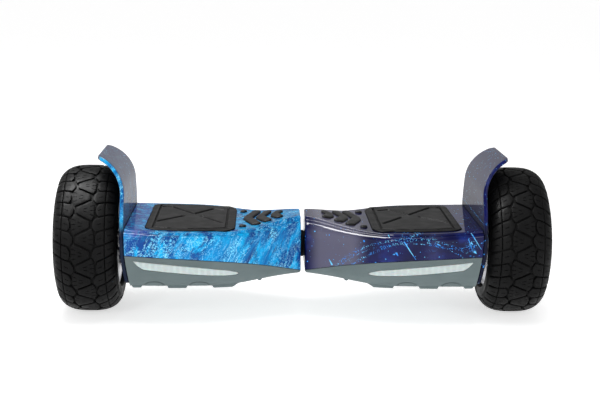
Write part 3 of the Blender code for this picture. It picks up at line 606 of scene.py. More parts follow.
def mark_rings():
    x, y, *radii = DOT
    dots = [arc((x, side * y), radii, 0, 345, 24) for side in (-1, 1)]
    return [chevron_ring(*mark) for mark in CHEVRONS] + dots


def make_top_cover():
    rows = deck_rows(top_profile, [0, 1, 2, 3], DECK_OUTER_X - 0.0003)
    cover = make_shell("right_upper_shell", rows, inner_rows(rows, TOP_WALL))
    above = AXLE_Z + 0.060
    cutters = [prism("pad_hole", pad_ring(0.0006), AXLE_Z + 0.010, above)]
    for ring in mark_rings():
        cutters.append(prism("mark_hole", grown(ring, 0.0005), AXLE_Z + 0.012, above))
    opening = [(0.0215, -0.010), (0.0215, 0.010), (0.0, 0.010), (0.0, -0.010)]
    cutters.append(turned("pivot_hole", opening, z=PIVOT_Z))
    combine(cover, "DIFFERENCE", *cutters)
    return smooth(cover, 40)


def tray_rows():
    return deck_rows(tray_profile, [2, 3, 4, 5], DECK_OUTER_X - 0.0003)


def put_in(piece, part):
    """Adds a closed part to a finished piece's mesh."""
    with editing(piece.data) as shape:
        shape.from_mesh(part.data)
    bpy.data.objects.remove(part, do_unlink=True)
    smooth(piece, 40)


def add_well(side, control, radius, hole, sunk):
    """A round well in the rear of a finished lower shell, round a control on the CAD."""
    cover = bpy.data.objects[f"{side}_lower_shell"]
    _, high, middle = extent(control)
    x, floor = middle[0], float(high[1]) - sunk
    rows = tray_rows() * (1 if side == "right" else -1, 1, 1)
    core = outward(grid("core", rows, wrap_columns=True, caps=(0, -1)))
    back, lip, far = floor - 0.0022, radius + WELL_WALL, floor + 0.0300
    cup = [(hole, back), (lip, back), (lip, far), (radius, far), (radius, floor), (hole, floor)]
    cup = turned("well", cup, x, z=REAR_CONTROL_Z, axis="Y")
    combine(cup, "INTERSECT", core)
    # The shell's own hole is a little wider than the cup, so that their faces don't coincide
    wide, near = lip + 0.0001, back - 0.0001
    mouth = [(0.0, near), (wide, near), (wide, far + 0.001), (0.0, far + 0.001)]
    shaft = [(0.0, floor - 0.02), (hole, floor - 0.02), (hole, floor), (0.0, floor)]
    cutters = [turned("cutter", ring, x, z=REAR_CONTROL_Z, axis="Y") for ring in (mouth, shaft)]
    combine(cover, "DIFFERENCE", *cutters)
    put_in(cover, cup)


def make_bottom_cover():
    rows = tray_rows()
    lining = inner_rows(rows, TRAY_WALL)
    lean_from, lean_to = SECTIONS[-2][0], SECTIONS[-1][0]
    for sections in (rows, lining):
        along = np.clip((sections[..., 0] - lean_from) / (lean_to - lean_from), 0, 1)
        sections[..., 0] -= end_lean(sections[..., 2] - AXLE_Z) * along
    cover = make_shell("right_lower_shell", rows, lining)
    edge = np.array(LENS_EDGES)
    ring = [(x, low) for x, low, _ in edge] + [(x, high) for x, _, high in edge[::-1]]
    window = prism("lens_window", grown(ring, 0.0002), -0.03, 0.03)
    remap(window, lambda p: np.stack([p[:, 0], p[:, 2] - 0.095, p[:, 1] + AXLE_Z], 1))
    outward(window)
    niches = [niche(x, 0.0, 0.0012) for x in NICHE_MIDDLES]
    niches += [niche(x, -0.0003, 0.0025, 0.0013) for x in NICHE_MIDDLES]
    combine(cover, "DIFFERENCE", window, *niches)
    return smooth(cover, 40)


def make_teeth():
    """The skid teeth, which a shell gets after its last Boolean, because they overlap it."""
    teeth = []
    for low_x, high_x, floor, slope in TEETH:
        base = float(smooth_table(SECTIONS, (low_x + high_x) / 2)[0, 5]) + 0.0020
        outline = [(low_x, base), (low_x + slope, floor), (high_x - 0.0025, floor), (high_x, base)]
        outline = rounded(outline, 0.0012, 3)
        tooth = prism("tooth", outline, -TOOTH_HALF, TOOTH_HALF, bevel=0.0008, step=0.004)
        teeth.append(outward(remap(tooth, beside_wall)))
    return merge("right_teeth", teeth)


def beside_wall(p):
    """Stands a flat tooth under the shell, with its ends flush with the shell's sides."""
    half = smooth_table(SECTIONS, p[:, 0])[:, 4] - 0.0002
    return np.stack([p[:, 0], -p[:, 2] * half / TOOTH_HALF, p[:, 1] + AXLE_Z], 1)


def niche(middle_x, inset, depth, inner=None):
    """A shallow half-oval recess low in the front, over a gap between two skid teeth. With
    `inner`, only the groove round it."""

    def arch(inset, foot):
        wide, tall = NICHE_HALF - inset, NICHE_TALL - inset
        curve = arc((middle_x, NICHE_FOOT), (wide, tall), 0, 180, 17)
        return [(middle_x + wide, foot), *curve, (middle_x - wide, foot)]

    outline = arch(inset, NICHE_FOOT - 0.0030)
    if inner:
        foot = NICHE_FOOT - 0.0036
        outline = arch(inset, foot) + arch(inner, foot)[::-1]

    def place(p):
        y = np.where(p[:, 2] > 0.5, depth, -0.010) - wall_y(p[:, 0], p[:, 1])
        return np.stack([p[:, 0], y, p[:, 1] + AXLE_Z], 1)

    return outward(remap(prism("niche", outline, 0.0, 1.0), place))


def make_lens():
    """Light cover, which follows the lower shell's side and stands just proud of it."""
    edge = np.array(LENS_EDGES)

    def edges(x):
        return (np.interp(x, edge[:, 0], edge[:, k]) for k in (1, 2))

    def half(x):
        low, high = edges(x)
        return np.maximum(0.0006, (high - low) / 2 - 0.0003)

    def place(x, across, offset):
        low, high = edges(x)
        z = (low + high) / 2 + across
        return np.stack([x, -wall_y(x, z) - offset, z + AXLE_Z], -1)

    ends = (edge[0, 0] + 0.0006, edge[-1, 0] - 0.0006)
    lens = pillow("right_light_cover", ends, half, place, -0.0022, 0.0002, 0.0006, 0.0022)
    return smooth(lens, 50)


def make_pad():
    """Foot pad, sloped like the deck, with an X of grooves and a panel line cut into it."""
    outline = np.array(PAD_OUTLINE)
    ends = (PAD_OUTLINE[0][0], PAD_OUTLINE[-1][0])

    def place(x, across, offset):
        z = AXLE_Z + PAD_TOP_AT_MID + PAD_SLOPE * (x - PAD_MID_X) + offset
        return np.stack([x, across, z], -1)

    def half(x):
        away = np.minimum(x - ends[0], ends[1] - x)
        return smooth_table(PAD_OUTLINE, x)[:, 0] - corner_pull(away, PAD_CORNER)

    def relief(x, y):
        depth = np.zeros_like(x)
        for line in PAD_GROOVES:
            away = np.full_like(x, 1.0)
            for (ax, ay), (bx, by) in zip(line, line[1:]):
                dx, dy = bx - ax, by - ay
                t = np.clip(((x - ax) * dx + (y - ay) * dy) / (dx**2 + dy**2), 0, 1)
                away = np.minimum(away, np.hypot(x - ax - t * dx, y - ay - t * dy))
            depth = np.maximum(depth, 0.0028 * np.clip((0.0032 - away) / 0.0008, 0, 1))
        panel_x = np.minimum(x - PAD_PANEL_X[0], PAD_PANEL_X[1] - x)
        panel_y = np.interp(x, *outline.T) - PAD_PANEL_INSET - np.abs(y)
        panel = np.minimum(panel_x, panel_y)
        depth = np.maximum(depth, 0.0024 * np.clip((0.0018 - np.abs(panel)) / 0.0007, 0, 1))
        return depth + 0.0010 * np.clip(-panel / 0.006, 0, 1)

    pad = pillow("right_pad", ends, half, place, -0.0056, 0.0, 0.0016, 0.0009, relief)
    return smooth(pad, 60)


def make_marks():
    """The arrow marks, with the sheet under the deck that joins them."""
    cut = {"bevel": 0.0020, "step": 0.004, "segments": 4}
    pieces = [prism("mark", ring, -0.0040, MARK_PROUD, **cut) for ring in mark_rings()]
    sheet = [(0.026, -0.022), (0.0915, -0.052), (0.0915, 0.052), (0.026, 0.022)]
    pieces.append(prism("sheet", sheet, -0.0048, -0.0034, step=0.008))
    marks = merge("right_arrow_marks", pieces)
    remap(marks, lambda p: np.stack([p[:, 0], p[:, 1], AXLE_Z + deck_top(p[:, 0]) + p[:, 2]], 1))
    return smooth(marks, 50)


def make_guard():
    """The fender, rounded on both faces: pillow() offsets grow outwards from the deck."""
    (foot, _), (arc_foot, arc_half) = FENDER_ROWS[0], FENDER_ROWS[-1]
    straight, bent = arc_foot - foot, FENDER_ARC_RADIUS * FENDER_ARC_ANGLE
    table = [(z - foot, half) for z, half in FENDER_ROWS]
    for share in np.arange(1, 7) / 6:
        table.append((straight + bent * share, arc_half + share * (FENDER_TIP_HALF - arc_half)))
    length = straight + bent

    def half(s):
        pull = corner_pull(length - s, 0.010) + corner_pull(s, 0.006)
        return smooth_table(table, s)[:, 0] - pull

    def place(s, across, offset):
        angle = np.clip((s - straight) / FENDER_ARC_RADIUS, 0, None)
        z = np.where(angle > 0, arc_foot + FENDER_ARC_RADIUS * np.sin(angle), foot + s)
        x = FENDER_INNER_X + FENDER_ARC_RADIUS * (1 - np.cos(angle)) - end_lean(z)
        z = AXLE_Z + z + offset * np.sin(angle)
        return np.stack([x - offset * np.cos(angle), across, z], -1)

    shape = (-FENDER_WALL, 0.0, FENDER_EDGE, 0.0035)
    guard = pillow("right_guard", (0.0, length), half, place, *shape, both_faces=True)
    opening = [(0.012, 0.230), (0.012, 0.270), (0.0, 0.270), (0.0, 0.230)]
    combine(guard, "DIFFERENCE", turned("axle_hole", opening, steps=48))
    return smooth(guard, 40)


# ---------------------------------------------------------------- wheels


def crown_curve():
    """Functions of the distance from the tyre's middle, over its tread surface."""
    table = np.array(TYRE_CROWN) * MM
    table[:, 1] += TYRE_RADIUS - table[0, 1]
    steps = np.hypot(*np.diff(table, axis=0).T)
    s = np.concatenate([[0], np.cumsum(steps)])
    rows = np.column_stack([s, table])
    fine = np.linspace(0, s[-1], 400)
    curve = smooth_table(rows, fine)
    tangent = np.gradient(curve, fine, axis=0)
    tangent /= np.linalg.norm(tangent, axis=1)[:, None]
    return fine, curve, tangent


CROWN_S, CROWN_AT, CROWN_ALONG = crown_curve()


def on_tyre(u, v, h):
    """Across the tread, round it, and out of it, to world positions of the right tyre."""
    s = np.abs(u)
    x, r = (np.interp(s, CROWN_S, CROWN_AT[:, k]) for k in (0, 1))
    tx, tr = (np.interp(s, CROWN_S, CROWN_ALONG[:, k]) for k in (0, 1))
    x, r = x - tr * h, r + tx * h
    angle = v / TYRE_RADIUS
    y, z = -r * np.cos(angle), r * np.sin(angle)
    return np.stack([WHEEL_X + np.sign(u) * x, y, AXLE_Z + z], -1)


# Tread blocks in mm, as (across from the middle, round the tyre)
ARROW_BLOCK = ((15.5, -8.2), (15.5, 8.2), (12.2, 14.9), (-9.4, 4.0), (-9.4, -4.0), (12.2, -14.9))
SHORT_BLOCK = ((29.6, -9.2), (29.6, 9.2), (21.0, 9.2), (17.9, 3.8), (17.9, -3.8), (21.0, -9.2))
LONG_BLOCK = ((29.6, -9.2), (29.6, 9.2), (17.4, 9.2), (13.2, 3.0), (13.2, -3.0), (17.4, -9.2))
SHOULDER_BLOCK = ((48.5, -8.0), (48.5, 8.0), (31.0, 9.2), (31.0, -9.2))
ARROW_SIPES = [((16.0, v * 0.95), (9.5, v * 0.7)) for v in (-8.5, 0.0, 8.5)]
ARROW_SIPES += [((6.0, v), (1.0, v * 0.6)) for v in (-3.0, 3.0)]
BLOCK_SIPES = (((20.5, 0.0), (26.0, 0.0)), ((34.5, 0.0), (41.0, 0.0)))
LEAN_FROM = 20.0


def tread_tile():
    """One period of the tread, flat: arrow blocks that interlock along the middle, pointed
    blocks beside them, and shoulder blocks, all with short sipes."""
    pitch = math.tau * TYRE_RADIUS / TREAD_PERIODS
    outlines, sipes = [], []

    def placed(points, shift, leans=True):
        out = []
        for u, v in points:
            slope = TREAD_LEAN * (1.0 if u > LEAN_FROM else 0.4) if leans else 0.0
            out.append((side * u * MM, (v - slope * (u - LEAN_FROM)) * MM + shift))
        return out

    for side in (-1, 1):
        shift = 0.0 if side > 0 else pitch / 2
        outlines.append(placed(ARROW_BLOCK, shift, False)[::side])
        sipes += [placed(sipe, shift, False) for sipe in ARROW_SIPES]
        for place, block in ((shift, SHORT_BLOCK), (shift + pitch / 2, LONG_BLOCK)):
            outlines += [placed(ring, place)[::side] for ring in (block, SHOULDER_BLOCK)]
            sipes += [placed(sipe, place) for sipe in BLOCK_SIPES]
    blocks = [prism("block", ring, -TREAD_DEPTH - 0.0010, 0.0, bevel=0.0005) for ring in outlines]
    tile = merge("tile", blocks)
    cutters = []
    for sipe in sipes:
        a, b = (Vector(end) for end in sipe)
        step = (b - a).normalized().orthogonal() * SIPE_HALF
        ring = [tuple(corner) for corner in (a + step, b + step, b - step, a - step)]
        cutters.append(prism("sipe", ring, -0.0026, 0.001))
    combine(tile, "DIFFERENCE", outward(merge("sipes", cutters)))
    with editing(tile.data) as shape:
        slice_up(shape, 0.0045)
    return tile, pitch


def make_tyre():
    """Tyre: the tread tile bent round it many times, on a carcass with a rib down its side."""
    tile, pitch = tread_tile()
    flat = positions(tile.data)
    points, faces = [], []
    for k in range(TREAD_PERIODS):
        points.append(on_tyre(flat[:, 0], flat[:, 1] + k * pitch, flat[:, 2]))
        base = len(flat) * k
        faces += [tuple(base + i for i in face.vertices) for face in tile.data.polygons]
    tread = outward(solid("tread", points, faces))
    bpy.data.objects.remove(tile, do_unlink=True)
    s = np.concatenate([np.linspace(0, 0.042, 12), np.linspace(0.044, CROWN_S[-1], 12)])
    side = on_tyre(s + 1e-9, 0 * s, np.interp(s, *zip(*CARCASS_DEPTHS)))
    profile = [(-y, x - WHEEL_X) for x, y, _ in side]
    bead = [(70.8, 43.6), (69.6, 41.2), (68.9, 38.8), (68.5, 35.6), (64.0, 35.2), (64.0, 27.5)]
    bead += [(72.0, 29.5), (86.0, 31.0), (92.4, 16.5), (93.6, 0.0)]
    profile += [(r * MM, x * MM) for r, x in bead]
    profile += [(r, -x) for r, x in profile[-2:0:-1]]
    carcass = turned("carcass", profile, WHEEL_X, steps=120)
    return smooth(merge("right_treaded_tyre", [carcass, tread]), 38)


# Hub cover and the head of a hub bolt in mm, as (radius, x from the wheel's middle)
HUB_OUTLINE = (
    *((67.9, 35.6), (67.9, 37.0), (67.2, 38.0), (65.4, 38.2), (64.4, 37.6), (63.2, 37.4)),
    *((61.8, 37.9), (58.5, 38.9), (56.0, 39.9), (54.2, 40.0), (40.0, 39.6), (38.4, 38.8)),
    *((37.0, 37.2), (35.2, 36.8), (24.5, 36.8), (22.8, 37.6), (21.6, 38.6), (20.0, 39.0)),
    *((12.0, 38.9), (10.2, 38.2), (9.2, 37.0), (9.2, 33.2), (15.3, 33.2), (15.3, 24.0)),
    *((20.0, 24.0), (20.0, 35.6)),
)
BOLT_OUTLINE = (
    *((0.0, 41.1), (2.0, 41.1), (2.0, 42.4), (3.7, 42.4), (4.2, 41.9), (4.2, 38.8), (0.0, 38.8)),
)


def make_hub_cover(side, word):
    """Hub cover turned with steps and rings, and the bolts round its edge."""
    plate, head = (
        [(r * MM, side * x * MM) for r, x in outline] for outline in (HUB_OUTLINE, BOLT_OUTLINE)
    )
    cover = turned(f"right_{word}_hub_plate", plate, WHEEL_X, steps=96)
    radii, half_step = (HUB_BOLT_CIRCLES[word],) * 2, 180 / HUB_BOLTS
    places = arc((0.0, AXLE_Z), radii, half_step, 360 - half_step, HUB_BOLTS)
    bolts = [turned("bolt", head, WHEEL_X, y, z, steps=20) for y, z in places]
    return smooth(cover, 30), smooth(merge(f"right_{word}_hub_bolts", bolts), 30)


# ---------------------------------------------------------------- controls and small parts


def make_seal():
    """Rubber ring with three ribs, round the pivot in the gap between the halves."""
    outline = [(14.3, -7.9), (18.6, -7.9), (19.3, -7.2)]
    for middle in (-4.6, 0.0, 4.6):
        outline += arc((18.2, middle), (1.3, 1.7), -90, 90, 7)
    outline += [(19.3, 7.0), (18.6, 7.7), (14.3, 7.7)]
    seal = turned("pivot_seal_ring", [(r * MM, x * MM) for r, x in outline], z=PIVOT_Z, steps=96)
    return smooth(seal, 40)


def make_button():
    """Round push button with a raised ring and a dished middle."""
    low, high, (x, _, z) = extent("power_button")
    radius, face, back = (high[0] - low[0]) / 2, high[1], low[1] + 0.0004
    outline = [(0.0, 0.6), (0.45, 0.5), (0.62, 0.25), (0.70, 0.0), (0.86, 0.05), (0.96, 0.35)]
    profile = [(radius * r, face - 0.0012 * d) for r, d in [*outline, (1.0, 0.9)]]
    stem = radius * 0.76
    profile += [(radius, face - 0.004), (stem, face - 0.0045), (stem, back), (0.0, back)]
    return smooth(turned("power_switch", profile, x, z=z, steps=64, axis="Y"), 30)


def make_port_cap():
    """Rubber cap with a raised rim, its plug behind it, and the tab that it hinges on."""
    low, high, (x, _, _) = extent("charge_port_cap")
    radius, plug = (high[0] - low[0]) / 2, 0.0046
    face, back = high[1], high[1] - 0.0020
    outline = [(0.0, 0.7), (0.55, 0.6), (0.70, 0.45), (0.76, 0.1), (0.84, 0.0), (0.94, 0.15)]
    profile = [(radius * r, face - 0.0010 * d) for r, d in [*outline, (1.0, 0.6)]]
    profile += [(radius, back), (plug, back), (plug, low[1]), (0.0, low[1])]
    lid = turned("lid", profile, x, z=REAR_CONTROL_Z, steps=48, axis="Y")
    left, right, foot, top = x - 0.0032, x + 0.0032, REAR_CONTROL_Z + 0.0070, high[2]
    corners = rounded([(left, foot), (right, foot), (right, top), (left, top)], 0.0008)
    tab = prism("tab", corners, back + 0.0003, face - 0.0003, bevel=0.0003)
    outward(remap(tab, lambda p: np.stack([p[:, 0], p[:, 2], p[:, 1]], 1)))
    return smooth(merge("port_cap", [lid, tab]), 35)


# ---------------------------------------------------------------- materials


class Shader:
    """A small builder of procedural materials in object coordinates."""

    def __init__(self, name):
        self.material = bpy.data.materials.new(name)
        self.material.use_nodes = True
        self.tree = self.material.node_tree
        self.surface = next(n for n in self.tree.nodes if n.type == "BSDF_PRINCIPLED")
        self.place = self.add("ShaderNodeTexCoord").outputs["Object"]

    def add(self, kind, inputs=None, **attributes):
        """A new node with its attributes set, and its inputs linked or given values."""
        node = self.tree.nodes.new(kind)
        for key, value in attributes.items():
            setattr(node, key, value)
        self.fill(node, inputs or {})
        return node

    def fill(self, node, inputs):
        for key, value in inputs.items():
            socket = node.inputs[key]
            if isinstance(value, bpy.types.NodeSocket):
                self.tree.links.new(value, socket)
            elif socket.type == "RGBA":
                socket.default_value = (*value, 1.0)
            else:
                socket.default_value = value

    def math(self, operation, a, b=0.0, c=0.0, clamp=False):
        inputs = {0: a, 1: b, 2: c}
        return self.add("ShaderNodeMath", inputs, operation=operation, use_clamp=clamp).outputs[0]

    def times(self, a, b, plus=0.0):
        return self.math("MULTIPLY_ADD", a, b, plus)

    def axis(self, index, vector=None):
        return self.add("ShaderNodeSeparateXYZ", {0: vector or self.place}).outputs[index]

    def vector(self, operation, a, b=(0.0, 0.0, 0.0)):
        node = self.add("ShaderNodeVectorMath", {0: a, 1: b}, operation=operation)
        return node.outputs["Value" if operation in ("LENGTH", "DOT_PRODUCT") else "Vector"]

    def turned(self, rotation, stretch):
        """Object coordinates turned, then squeezed along each axis."""
        turn = self.add("ShaderNodeMapping", {"Vector": self.place, "Rotation": rotation})
        inputs = {"Vector": turn.outputs[0], "Scale": stretch}
        return self.add("ShaderNodeMapping", inputs).outputs[0]

    def noise(self, scale, detail=3.0, roughness=0.5, place=None, warp=0.0):
        inputs = {"Vector": place or self.place, "Scale": scale, "Detail": detail}
        inputs.update({"Roughness": roughness, "Distortion": warp})
        return self.add("ShaderNodeTexNoise", inputs).outputs[0]

    def cells(self, scale, feature="F1", randomness=1.0):
        inputs = {"Vector": self.place, "Scale": scale, "Randomness": randomness}
        return self.add("ShaderNodeTexVoronoi", inputs, feature=feature)

    def dots(self, scale, low, high, **cells):
        """Soft spots at the middles of cells, or lines along their edges."""
        return self.ramp(self.cells(scale, **cells).outputs["Distance"], low, high)

    def ramp(self, value, low, high, out_low=0.0, out_high=1.0):
        inputs = {0: value, 1: low, 2: high, 3: out_low, 4: out_high}
        node = self.add("ShaderNodeMapRange", inputs, interpolation_type="SMOOTHSTEP")
        return node.outputs[0]

    def mix(self, factor, a, b):
        return self.add("ShaderNodeMix", {0: factor, 6: a, 7: b}, data_type="RGBA").outputs[2]

    def set(self, **values):
        named = {key.replace("_", " "): value for key, value in values.items()}
        self.fill(self.surface, named)

    def bump(self, height, distance, strength):
        inputs = {"Height": height, "Distance": distance, "Strength": strength}
        self.set(Normal=self.add("ShaderNodeBump", inputs).outputs[0])

    def ring(self, x, z, radius, width):
        """A soft circle's line round a point in the XZ plane."""
        away = self.vector("LENGTH", self.beside(x, z))
        off = self.math("ABSOLUTE", self.math("SUBTRACT", away, radius))
        return self.ramp(off, width, 0.0)

    def beside(self, x, z):
        """The vector from a point in the XZ plane."""
        flat = self.vector("MULTIPLY", self.place, (1.0, 0.0, 1.0))
        return self.vector("SUBTRACT", flat, (x, 0.0, z))

    def streak(self, start, end, width):
        """A soft tapered line between two points in the XZ plane."""
        (ax, az), (bx, bz) = start, end
        length = math.hypot(bx - ax, bz - az)
        away = self.beside(ax, az)
        unit = ((bx - ax) / length, 0.0, (bz - az) / length)
        along = self.math("DIVIDE", self.vector("DOT_PRODUCT", away, unit), length, clamp=True)
        reached = self.times(along, length)
        nearest = self.add("ShaderNodeVectorMath", {0: unit, "Scale": reached}, operation="SCALE")
        off = self.vector("LENGTH", self.vector("SUBTRACT", away, nearest.outputs[0]))
        reach = self.times(along, -0.7 * width, width)
        return self.ramp(self.math("DIVIDE", off, reach), 1.0, 0.2)


def guard_print_and_painted_light(m, body):
    """The fender's print with painted light on it: a painted reflection as pale haze on its wide
    faces, paler high up, the print left bright on its rim, and painted shade that darkens it low
    down.
    """
    normal = m.add("ShaderNodeNewGeometry").outputs["Normal"]
    facing = m.math("ABSOLUTE", m.axis(1, normal))
    # Painted reflection: where the normal points along X, on the two wide faces, the print turns
    # to a pale grey haze
    painted_reflection = m.times(m.ramp(facing, 0.75, 0.45), 0.82)
    body = m.mix(painted_reflection, body, (0.045, 0.048, 0.085))
    height = m.axis(2)
    # Painted sheen: the wide faces are paler still high up
    high = m.times(m.ramp(height, 0.150, 0.205), m.times(painted_reflection, 0.75))
    body = m.mix(high, body, (0.125, 0.125, 0.165))
    specks = m.times(m.dots(240.0, 0.22, 0.10), m.ramp(m.noise(40.0, 3.0), 0.46, 0.58))
    body = m.mix(m.times(specks, 0.9), body, (0.22, 0.60, 0.98))
    # Painted shade: near-black low down on the fender
    return m.mix(m.ramp(height, 0.158, 0.132, 0.0, 0.985), body, (0.0025, 0.004, 0.018))


def lacquer(m, colour, coat):
    """A print under clear coat."""
    m.set(Base_Color=colour, Roughness=0.36, Specular_IOR_Level=0.0)
    m.set(Coat_Weight=coat, Coat_Roughness=0.02, Coat_IOR=1.42)
    return m.material


def water_print(name, coat, guard=False):
    """Clear-coated print of rushing blue water: deep patches, bright streaks and foam."""
    m = Shader(name)
    flow = m.turned((0.25, -0.50, 0.35), (1.0, 1.0, 0.26))
    large = m.noise(26.0, 4.0, 0.6, flow, 0.6)
    medium = m.noise(85.0, 5.0, 0.65, flow, 0.5)
    body = m.mix(m.ramp(large, 0.40, 0.56), (0.003, 0.058, 0.27), (0.002, 0.225, 0.57))
    body = m.mix(m.ramp(medium, 0.46, 0.64), body, (0.003, 0.39, 0.79))
    shade = m.ramp(m.noise(60.0, 5.0, 0.65, flow, 0.9), 0.54, 0.66)
    body = m.mix(m.times(shade, 0.85), body, (0.012, 0.036, 0.17))
    bright = m.ramp(m.noise(34.0, 4.0, 0.6, flow, 1.0), 0.42, 0.62)
    patches = m.ramp(m.noise(120.0, 5.0, 0.7, flow, 0.5), 0.42, 0.58)
    patches = m.times(patches, m.times(bright, 0.7, 0.3))
    spots = m.math("MAXIMUM", m.dots(300.0, 0.42, 0.20), m.dots(560.0, 0.46, 0.22))
    foam = m.times(spots, patches)
    body = m.mix(foam, body, (0.19, 0.71, 1.0))
    thread = m.math("ABSOLUTE", m.math("SUBTRACT", m.noise(55.0, 4.0, 0.6, flow, 1.6), 0.5))
    thread = m.times(m.ramp(thread, 0.018, 0.0), m.times(bright, 0.7, 0.2))
    body = m.mix(thread, body, (0.32, 0.76, 0.97))
    # The fender's version gets a painted reflection on its wide faces and painted shade low down
    if guard:
        return lacquer(m, guard_print_and_painted_light(m, body), coat)
    # Deeper blue-purple in patches on the top towards the outer end
    outer_top_deep_blue = m.ramp(m.math("ABSOLUTE", m.axis(0)), 0.200, 0.240)
    outer_top_deep_blue = m.times(outer_top_deep_blue, m.ramp(m.axis(2), 0.1280, 0.1345, 0.15, 1.0))
    outer_top_deep_blue = m.times(outer_top_deep_blue, m.ramp(medium, 0.62, 0.42, 0.15, 0.75))
    return lacquer(m, m.mix(outer_top_deep_blue, body, (0.030, 0.060, 0.36)), coat)


# Lights of the night print: ends and half width of each short streak, in the XZ plane
COMETS = (
    ((0.1373, 0.1252), (0.1543, 0.0995), 0.0013),
    ((0.1270, 0.1085), (0.1295, 0.1050), 0.0022),
    ((0.0405, 0.0830), (0.0365, 0.0895), 0.0018),
    ((0.1165, 0.1320), (0.1175, 0.1295), 0.0010),
    ((0.2310, 0.1355), (0.2450, 0.1140), 0.0011),
    ((0.2260, 0.1290), (0.2330, 0.1110), 0.0008),
    ((0.2360, 0.1105), (0.2385, 0.1080), 0.0027),
    ((0.2300, 0.1240), (0.2325, 0.1215), 0.0018),
    ((0.1830, 0.1230), (0.1870, 0.1210), 0.0016),
)
# Dotted arcs and clusters: middle x and z, radius, half width
ARCS = (
    (0.152, -0.0110, 0.1405, 0.0026),
    (0.149, -0.0110, 0.1345, 0.0014),
    (0.242, -0.1250, 0.2735, 0.0026),
    (0.210, 0.2060, 0.0900, 0.0022),
    (0.1400, 0.1285, 0.0, 0.0120),
    (0.2310, 0.1190, 0.0, 0.0130),
    (0.1760, 0.1265, 0.0, 0.0090),
)


# Two sizes of stars: cells per metre, rarity of large ones, their reach, share left out, edge
STARS = ((120.0, 7.0, 0.16, 0.80, 0.05), (300.0, 5.0, 0.24, 0.60, 0.10))


def night_print(name, coat, guard=False):
    """Clear-coated print of a night sky: navy haze, stars, dotted arcs and comets, with a painted
    sheen in grey-mauve bands across it.
    """
    m = Shader(name)
    large = m.noise(14.0, 3.0, 0.5, warp=0.5)
    haze = m.mix(m.ramp(large, 0.35, 0.68), (0.0018, 0.0026, 0.034), (0.0050, 0.0066, 0.076))
    haze = m.mix(m.ramp(m.noise(30.0, 4.0, 0.6), 0.50, 0.72), haze, (0.008, 0.020, 0.150))
    across = m.axis(0)
    # Painted sheen: grey-mauve bands across x stand in for reflected light. They are strong over
    # the inner part and faint further out
    for low, high, share in ((0.004, 0.092, 0.76), (0.160, 0.200, 0.12)):
        painted_sheen = m.times(m.ramp(across, low, low + 0.022), m.ramp(across, high, high - 0.026))
        haze = m.mix(m.times(painted_sheen, share), haze, (0.132, 0.128, 0.185))
    light = 0.0
    for scale, power, reach, share, edge in STARS:
        stars = m.cells(scale)
        kind = m.add("ShaderNodeSeparateColor", {0: stars.outputs["Color"]})
        size = m.times(m.math("POWER", kind.outputs[0], power), reach, 0.02)
        star = m.ramp(m.math("SUBTRACT", stars.outputs["Distance"], size), edge, 0.0)
        star = m.times(star, m.math("GREATER_THAN", kind.outputs[1], share))
        light = m.math("MAXIMUM", light, star)
    arcs = 0.0
    for dotted in ARCS:
        arcs = m.math("MAXIMUM", arcs, m.ring(*dotted))
    ragged = m.ramp(m.noise(110.0, 3.0, 0.6), 0.34, 0.46)
    cloud = m.ramp(m.noise(20.0, 4.0, 0.65, warp=0.8), 0.60, 0.74)
    mask = m.math("MAXIMUM", m.times(arcs, ragged), m.times(cloud, 0.5))
    light = m.math("MAXIMUM", light, m.times(m.dots(540.0, 0.47, 0.24), mask))
    for comet in COMETS:
        light = m.math("MAXIMUM", light, m.streak(*comet))
    colour = m.mix(m.ramp(m.noise(90.0, 2.0), 0.40, 0.66), (0.02, 0.26, 0.88), (0.17, 0.64, 1.0))
    # The fender's version gets a painted reflection on its wide faces and painted shade low down
    if guard:
        haze = guard_print_and_painted_light(m, haze)
    return lacquer(m, m.mix(light, haze, colour), coat)


def moulded(name, colour, shade, roughness, grain, depth, scale=900.0):
    """Moulded plastic or rubber with a fine spark-eroded grain and a slight mottle."""
    m = Shader(name)
    mottle = m.noise(18.0, 4.0, 0.55)
    m.set(Base_Color=m.mix(m.ramp(mottle, 0.30, 0.72), colour, shade))
    m.set(Roughness=m.ramp(m.noise(60.0, 3.0), 0.30, 0.70, roughness - 0.04, roughness + 0.05))
    m.set(Specular_IOR_Level=0.3)
    m.bump(m.times(m.noise(scale / 3, 2.0), 0.6, m.noise(scale, 2.0, 0.6)), depth, grain)
    return m


# Distances between what repeats behind or on a surface
LAMP_PITCH = 0.0085
CELL_PITCH = 0.0192
TOOL_RING_PITCH = 0.0009


def lens_plastic():
    """Milky light cover, with the row of lamps behind it just showing."""
    m = moulded("milky_plastic", (0.52, 0.60, 0.59), (0.60, 0.68, 0.67), 0.34, 0.05, 0.0001)
    wave = m.math("COSINE", m.times(m.axis(0), math.tau / LAMP_PITCH))
    lamps = m.times(m.ramp(wave, -0.6, 1.0), m.ramp(m.noise(120.0, 2.0), 0.30, 0.70))
    m.set(Base_Color=m.mix(lamps, (0.46, 0.53, 0.525), (0.53, 0.60, 0.595)))
    m.set(Subsurface_Weight=0.25, Subsurface_Scale=0.004, Coat_Weight=0.3, Coat_Roughness=0.2)
    return m.material


def tyre_rubber():
    """Matt tread rubber, polished in patches."""
    colours = (0.0040, 0.0040, 0.0042), (0.0074, 0.0074, 0.0076)
    m = moulded("tyre_rubber", *colours, 0.44, 0.12, 0.0003, 700.0)
    rough = m.ramp(m.noise(34.0, 4.0, 0.6), 0.34, 0.68, 0.42, 0.62)
    m.set(Roughness=rough, Specular_IOR_Level=0.07)
    return m.material


